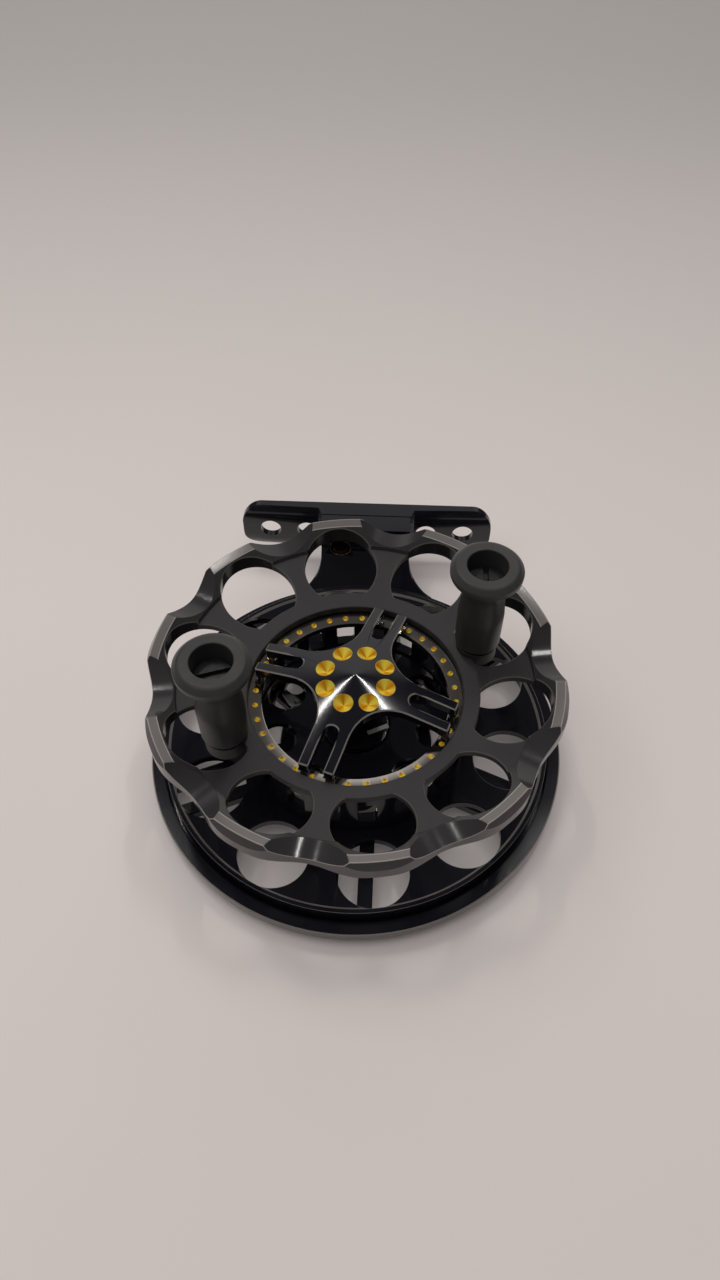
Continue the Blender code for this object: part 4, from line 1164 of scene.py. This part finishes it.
def spider_outline():
    """The hub's edge with five forks that run into the ring, one of them opposite the foot."""
    slot = ARM_SLOT / 2
    edge = slot + ARM_BAR
    reach = ring_high.x - RING_WIDTH / 2
    root = math.degrees(math.asin(edge / HUB_R))
    bar = [(chord(HUB_R, edge), edge), (chord(reach, edge), edge), (chord(reach, slot), slot)]
    fork = [(x, -y) for x, y in bar] + slot_end(HUB_R + ARM_SLOT_INSET + slot, slot, 10) + bar[::-1]
    turns = [ARM_STEP * step - 90.0 for step in range(-2, 3)]
    points = []
    for turn, following in zip(turns, turns[1:] + [turns[0] + 360.0]):
        points += [about_axis(turn) @ Vector((x, y, 0.0)) for x, y in fork]
        span = following - turn - 2 * root
        points += [polar(HUB_R, turn + root + span * i / 16) for i in range(1, 16)]
    return points


def frame_spider(finish):
    piece = lofted("spider", [plate(spider_outline(), spider_low.z, spider_high.z, 0.2 * MM)], finish)
    holes = [circle(SPINDLE_BORE_R, 40)]
    for k in range(PIN_HOLES):
        holes.append(circle(PIN_HOLE_R, 24, polar(PIN_RING_R, 90.0 + 360.0 * k / PIN_HOLES)))
    cut(piece, lofted("hub_holes", [prism(hole, spider_low.z - GAP, spider_high.z + GAP) for hole in holes]))
    floor = rear_low.z - REAR_SKIRT_DROP - GAP
    groove = band(REAR_R - REAR_SKIRT - GAP, ring_high.x - RING_WIDTH, floor, rear_low.z)
    return cut(piece, turned("skirt_groove", groove, 240))


def along_y(x):
    """Turn a shape built about +Z so that it points along +Y, through the foot's middle height."""
    return Matrix.Translation((x, 0.0, foot_middle)) @ Matrix.Rotation(math.radians(-90.0), 4, "X")


def post_section(x):
    """The post's outline at one place across it; beyond its width it runs down into the ring."""
    ring_r = ring_high.x - 0.1 * MM
    foot = chord(ring_r, x)
    base = post_low.z
    past = (abs(x) - post_high.x) / POST_FLARE
    if past <= 0.0:
        step = ring_high.z + (math.hypot(post_plate, x) - ring_r) / POST_SLOPE
        back, top = post_high.y, post_high.z
        front = post_plate
    else:
        step = ring_high.z + POST_FLARE_HEIGHT * (1 - chord(1, 1 - past)) + SLIVER
        top = step + SLIVER
        front = chord(ring_r + POST_SLOPE * (step - ring_high.z), x)
        back = front + POST_FLARE_THICKNESS * (1 - past) + 0.1 * MM
    outline = ((foot, base), (back, base), (back, top), (front, top), (front, step), (foot, ring_high.z))
    return [Vector((x, y, z)) for y, z in outline]


def foot_post(finish):
    """A sloped web that flares into the ring and climbs to the plate that holds the foot."""
    half = post_high.x
    steps = range(POST_STEPS + 1)
    piece = lofted("post", [[post_section(half * (2 * i / POST_STEPS - 1)) for i in steps]], finish)
    end = 0.02
    for side in (-1, 1):
        shares = [(i + end) / (POST_STEPS + 2 * end) for i in steps]
        flare = [post_section(side * (half + POST_FLARE * share)) for share in shares]
        combine(piece, "UNION", lofted("post_flare", [flare]))
    # The post's broken edges are marked bright as painted highlights
    soften(piece, 0.3 * MM, 40.0, bare=FOOT_EDGE_HIGHLIGHT)
    head = FOOT_SCREW_R + FOOT_SCREW_PLAY
    shank = FOOT_SCREW_SHANK_R + FOOT_SCREW_PLAY
    over = 1.0 * MM
    outline = rounded([
        (0.0, post_plate - over), (head + over, post_plate - over), (shank, post_plate + head - shank),
        (shank, post_high.y + over), (0.0, post_high.y + over)])
    places = [along_y(x) for x in FOOT_SCREWS.values()]
    return cut(piece, turned("countersinks", outline, 48, places=places))


def foot_screw(name, x, finish):
    """A countersunk screw with a dished face and a hexagon socket; its gold is painted near black as painted
    shade, and its rim is a painted highlight.
    """
    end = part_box(name)[1].y
    cone = FOOT_SCREW_R - FOOT_SCREW_SHANK_R
    front = post_plate + FOOT_SCREW_SINK
    dish = front + FOOT_SCREW_DISH
    rim = 0.1 * MM
    corners = [
        (0.0, dish), (FOOT_SCREW_R - FOOT_SCREW_DISH, dish, rim), (FOOT_SCREW_R - rim, front, rim / 2),
        (FOOT_SCREW_R, front + rim, rim / 2), (FOOT_SCREW_SHANK_R, front + cone, rim),
        (FOOT_SCREW_SHANK_R, end, 0.15 * MM), (0.0, end),
    ]
    place = along_y(x)
    piece = turned(name + "_gold", rounded(corners), 48, finish, [place])
    hexagon = [place @ p for p in circle(SOCKET_R, 6)]
    socket = [[Vector((p.x, y, p.z)) for p in hexagon] for y in (front, dish + SOCKET_DEPTH)]
    cut(piece, lofted("hexagon_socket", [socket]))
    # The rim is marked bright as a painted highlight
    bright_r = FOOT_SCREW_R - FOOT_SCREW_DISH / 2
    return burnish(piece, SCREW_RIM_HIGHLIGHT, lambda face: math.hypot(
        face.center.x - x, face.center.z - foot_middle) > bright_r)


def seat_sag(z):
    """How far the seat curls towards the rod beyond its flat strip."""
    return max(abs(z) - FOOT_SEAT_FLAT / 2, 0.0) ** 2 / (2 * FOOT_SEAT_R)


def foot_section(x):
    """The foot's cross-section at one place along its length: a wing or the thick block."""
    half = foot_high.x
    width = (foot_high.z - foot_low.z) / 2
    run_in = abs(x) - (half - FOOT_CORNER_R)
    if run_in > 0.0:
        width += math.sqrt(max(FOOT_CORNER_R ** 2 - run_in ** 2, 0.0)) - FOOT_CORNER_R
    block_face = foot_low.y
    seat = block_face + FOOT_BLOCK
    block_end = FOOT_BLOCK_LENGTH / 2
    share = min((half - abs(x)) / (half - block_end), 1.0)
    thickness = FOOT_TIP + (FOOT_WING - FOOT_TIP) * share
    rise = min(max((block_end + FOOT_BLOCK_RAMP - abs(x)) / FOOT_BLOCK_RAMP, 0.0), 1.0)
    rows = [width * (i / 6 - 1) for i in range(13)]
    outer = [Vector((x, seat + seat_sag(z), foot_middle + z)) for z in rows]
    inner = []
    for z in rows:
        wing = seat + seat_sag(z) - thickness
        inner.append(Vector((x, wing + (block_face - wing) * rise, foot_middle + z)))
    return outer + inner[::-1]


def reel_foot(finish):
    half = foot_high.x
    block = FOOT_BLOCK_LENGTH / 2
    straight = half - FOOT_CORNER_R
    tips = [half - FOOT_CORNER_R * (1 - math.sin(math.radians(turn))) for turn in range(90, -1, -6)]
    wing = [straight - (straight - block - FOOT_BLOCK_RAMP) * i / 8 for i in range(1, 9)]
    stations = tips + wing + [block, block / 2]
    stations = stations + [0.0] + [-x for x in reversed(stations)]
    piece = lofted("foot", [[foot_section(x) for x in stations]], finish)
    # The foot's broken edges are marked bright as painted highlights
    soften(piece, 0.25 * MM, 40.0, bare=FOOT_EDGE_HIGHLIGHT)
    places = [along_y(x) for x in FOOT_HOLES]
    holes = turned("foot_holes", band(0.0, FOOT_HOLE_R, *FOOT_HOLE_SPAN), 48, places=places)
    return cut(piece, holes)


# Lock nut and drag knob

def nut_slots(share=1.0):
    """Plan corners of the nut's two spanner slots, or of what lies in them."""
    place = Matrix.Translation(polar(*NUT_SLOT)) @ about_axis(NUT_SLOT_TURN)
    return [rectangle(NUT_SLOT_LENGTH * share, NUT_SLOT_WIDTH * share, about_axis(turn) @ place)
            for turn in (0.0, 180.0)]


def lock_nut(finish):
    radius, top = nut_high.x, nut_high.z
    floor = nut_low.z
    well = floor + NUT_WELL
    corners = [(0.0, well), (NUT_WELL_R, well), (NUT_WELL_R, floor), (radius, floor, 0.1 * MM),
               (radius, top, 0.2 * MM), (0.0, top)]
    piece = turned("nut", rounded(corners), 96, finish)
    slots = [prism(slot, top - NUT_SLOT_DEPTH, top + GAP) for slot in nut_slots()]
    return cut(piece, lofted("spanner_slots", slots))


def slot_floors(finish):
    """Bare floors that lie in the nut's slots."""
    low, high = [nut_high.z - depth for depth in SLOT_FLOOR]
    floors = [plate(slot, low, high, 0.05 * MM) for slot in nut_slots(SLOT_FLOOR_SHARE)]
    return lofted("slot_floors", floors, finish)


def drag_dial(finish):
    """A flat dial with finger grips round its edge, on which the reel stands."""
    radius = knob_high.x
    low, high = knob_low.z, knob_high.z
    floor = low + KNOB_FLOOR
    corners = [
        (0.0, low), (radius - KNOB_BEVEL[0], low, 0.3 * MM), (radius, low + KNOB_BEVEL[1], 0.3 * MM),
        (radius, high, 0.3 * MM), (KNOB_BORE_R, high, 0.1 * MM), (KNOB_BORE_R, floor), (0.0, floor),
    ]
    piece = turned("drag_dial", rounded(corners), 240, finish)
    grip_r = radius * math.sin(math.radians(90.0 / KNOB_GRIPS))
    outline = circle(grip_r, 48, polar(radius - KNOB_GRIP_DEPTH + grip_r, 0.0))
    grip = lofted("finger_grips", [prism(outline, low - GAP, high + GAP)])
    cut(piece, ring_of(grip, KNOB_GRIPS, 180.0 / KNOB_GRIPS))
    return soften(piece, FINE, 35.0)


# Stage, light and camera

def table_board(finish):
    """A wide pale board, flat under the reel."""
    bm = bmesh.new()
    bmesh.ops.create_grid(bm, x_segments=BOARD_STEPS, y_segments=BOARD_STEPS, size=BOARD_HALF,
                          matrix=Matrix.Translation((0.0, 0.0, -BOARD_SINK)))
    make("table_board", bm, finish)


def soft_light(name, place, size, power, aim=None):
    """A lamp that shines straight down, or a fill that is aimed and left out of reflections."""
    lamp = bpy.data.lights.new(name, "AREA")
    lamp.shape = "RECTANGLE"
    lamp.size, lamp.size_y = size
    lamp.energy = power
    lamp.color = LAMP_COLOUR
    holder = linked(name, lamp)
    holder.location = place
    if aim:
        holder.rotation_euler = (Vector(aim) - Vector(place)).to_track_quat("-Z", "Y").to_euler()
        holder.visible_glossy = False


def studio():
    """A dark room with a bright wall behind the reel, two strips of light overhead and a soft fill."""
    world = bpy.data.worlds.new("studio")
    world.use_nodes = True
    tree = Tree(world.node_tree)
    across = tree.split(tree.add("ShaderNodeTexCoord"))
    behind = tree.ramp(across.out("Y"), *ROOM_BEHIND)
    low = tree.ramp(across.out("Z"), *ROOM_LOW)
    middle = tree.ramp(tree.math("ABSOLUTE", across), *ROOM_MIDDLE)
    background = world.node_tree.nodes["Background"]
    tree.feed(background.inputs["Color"], ROOM_COLOUR)
    tree.feed(background.inputs["Strength"], ROOM_DARK + ROOM_BRIGHT * behind * low * middle)
    bpy.context.scene.world = world
    bpy.context.scene.view_settings.view_transform = "Standard"
    for name, place in STRIPS.items():
        soft_light(name, place, STRIP_SIZE, STRIP_POWER)
    soft_light("overhead_fill", FILL_PLACE, FILL_SIZE, FILL_POWER, FILL_AIM)


def photo_camera():
    lens = bpy.data.cameras.new("photo_camera")
    lens.lens = CAMERA_LENS
    lens.sensor_width = CAMERA_SENSOR
    lens.clip_start = CAMERA_NEAR
    lens.dof.use_dof = False
    camera = linked("photo_camera", lens)
    look = Vector(CAMERA_LOOK).normalized()
    right = look.cross(Vector(CAMERA_UP)).normalized()
    turn = Matrix((right, right.cross(look), -look)).transposed().to_4x4()
    camera.matrix_world = Matrix.Translation(CAMERA_PLACE) @ turn
    bpy.context.scene.camera = camera


# Dressing

def dress(piece, body, slot, *nodes):
    """Fasten a finished piece to its body and let it stand for its solids."""
    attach(piece, body)
    if nodes:
        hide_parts(*nodes)


def dress_reel():
    gloss = gloss_black()
    grip = matt_black()
    golden = gold("gold_anodised", SHADED_FACET_GOLD)
    # The screw's gold is painted near black as painted shade
    screw_gold = gold("gold_screw", SHADED_SCREW_GOLD)
    blackened = blackened_steel()
    dress(front_flange(satin_black()), "spool", "satin_black", "spool_front_flange")
    dress(spool_drum(gloss), "spool", "gloss_black", "spool_drum")
    dress(gold_pits(golden), "spool", "gold")
    dress(rear_flange(gloss), "spool", "gloss_black", "spool_rear_flange")
    dress(hub_star(gloss), "spool", "gloss_black", "hub_star")
    dress(gold_cups(golden), "spool", "gold")
    for name in HANDLES:
        dress(handle_grip(name, grip), name, "matt_black", name.replace("handle", "handle_knob"))
        dress(handle_screw(name, blackened), "spool", "steel", name.replace("handle", "handle_screw"))
    dress(frame_ring(gloss), "frame", "gloss_black", "frame_ring")
    dress(frame_spider(gloss), "frame", "gloss_black", "frame_spider")
    dress(foot_post(gloss), "frame", "gloss_black", "foot_post")
    dress(reel_foot(gloss), "frame", "gloss_black", "reel_foot")
    for name, x in FOOT_SCREWS.items():
        dress(foot_screw(name, x, screw_gold), "frame", "gold", name)
    dress(lock_nut(gloss), "frame", "gloss_black", "spool_lock_nut")
    dress(slot_floors(bare_alloy()), "frame", "steel")
    dress(drag_dial(gloss), "drag_knob", "gloss_black", "drag_knob")


def dress_solids():
    """Give the solids that no visual piece stands for a finish of their own."""
    finishes = {"steel": steel(), "carbon": carbon()}
    slots = {row["node"]: row["material_slot"] for row in frame["record"]["subparts"]}
    for name, node in frame["nodes"].items():
        if slots[name] in finishes:
            for place in node.material_slots:
                place.material = finishes[slots[name]]


table_board(table_paper())
studio()
photo_camera()
dress_reel()
dress_solids()
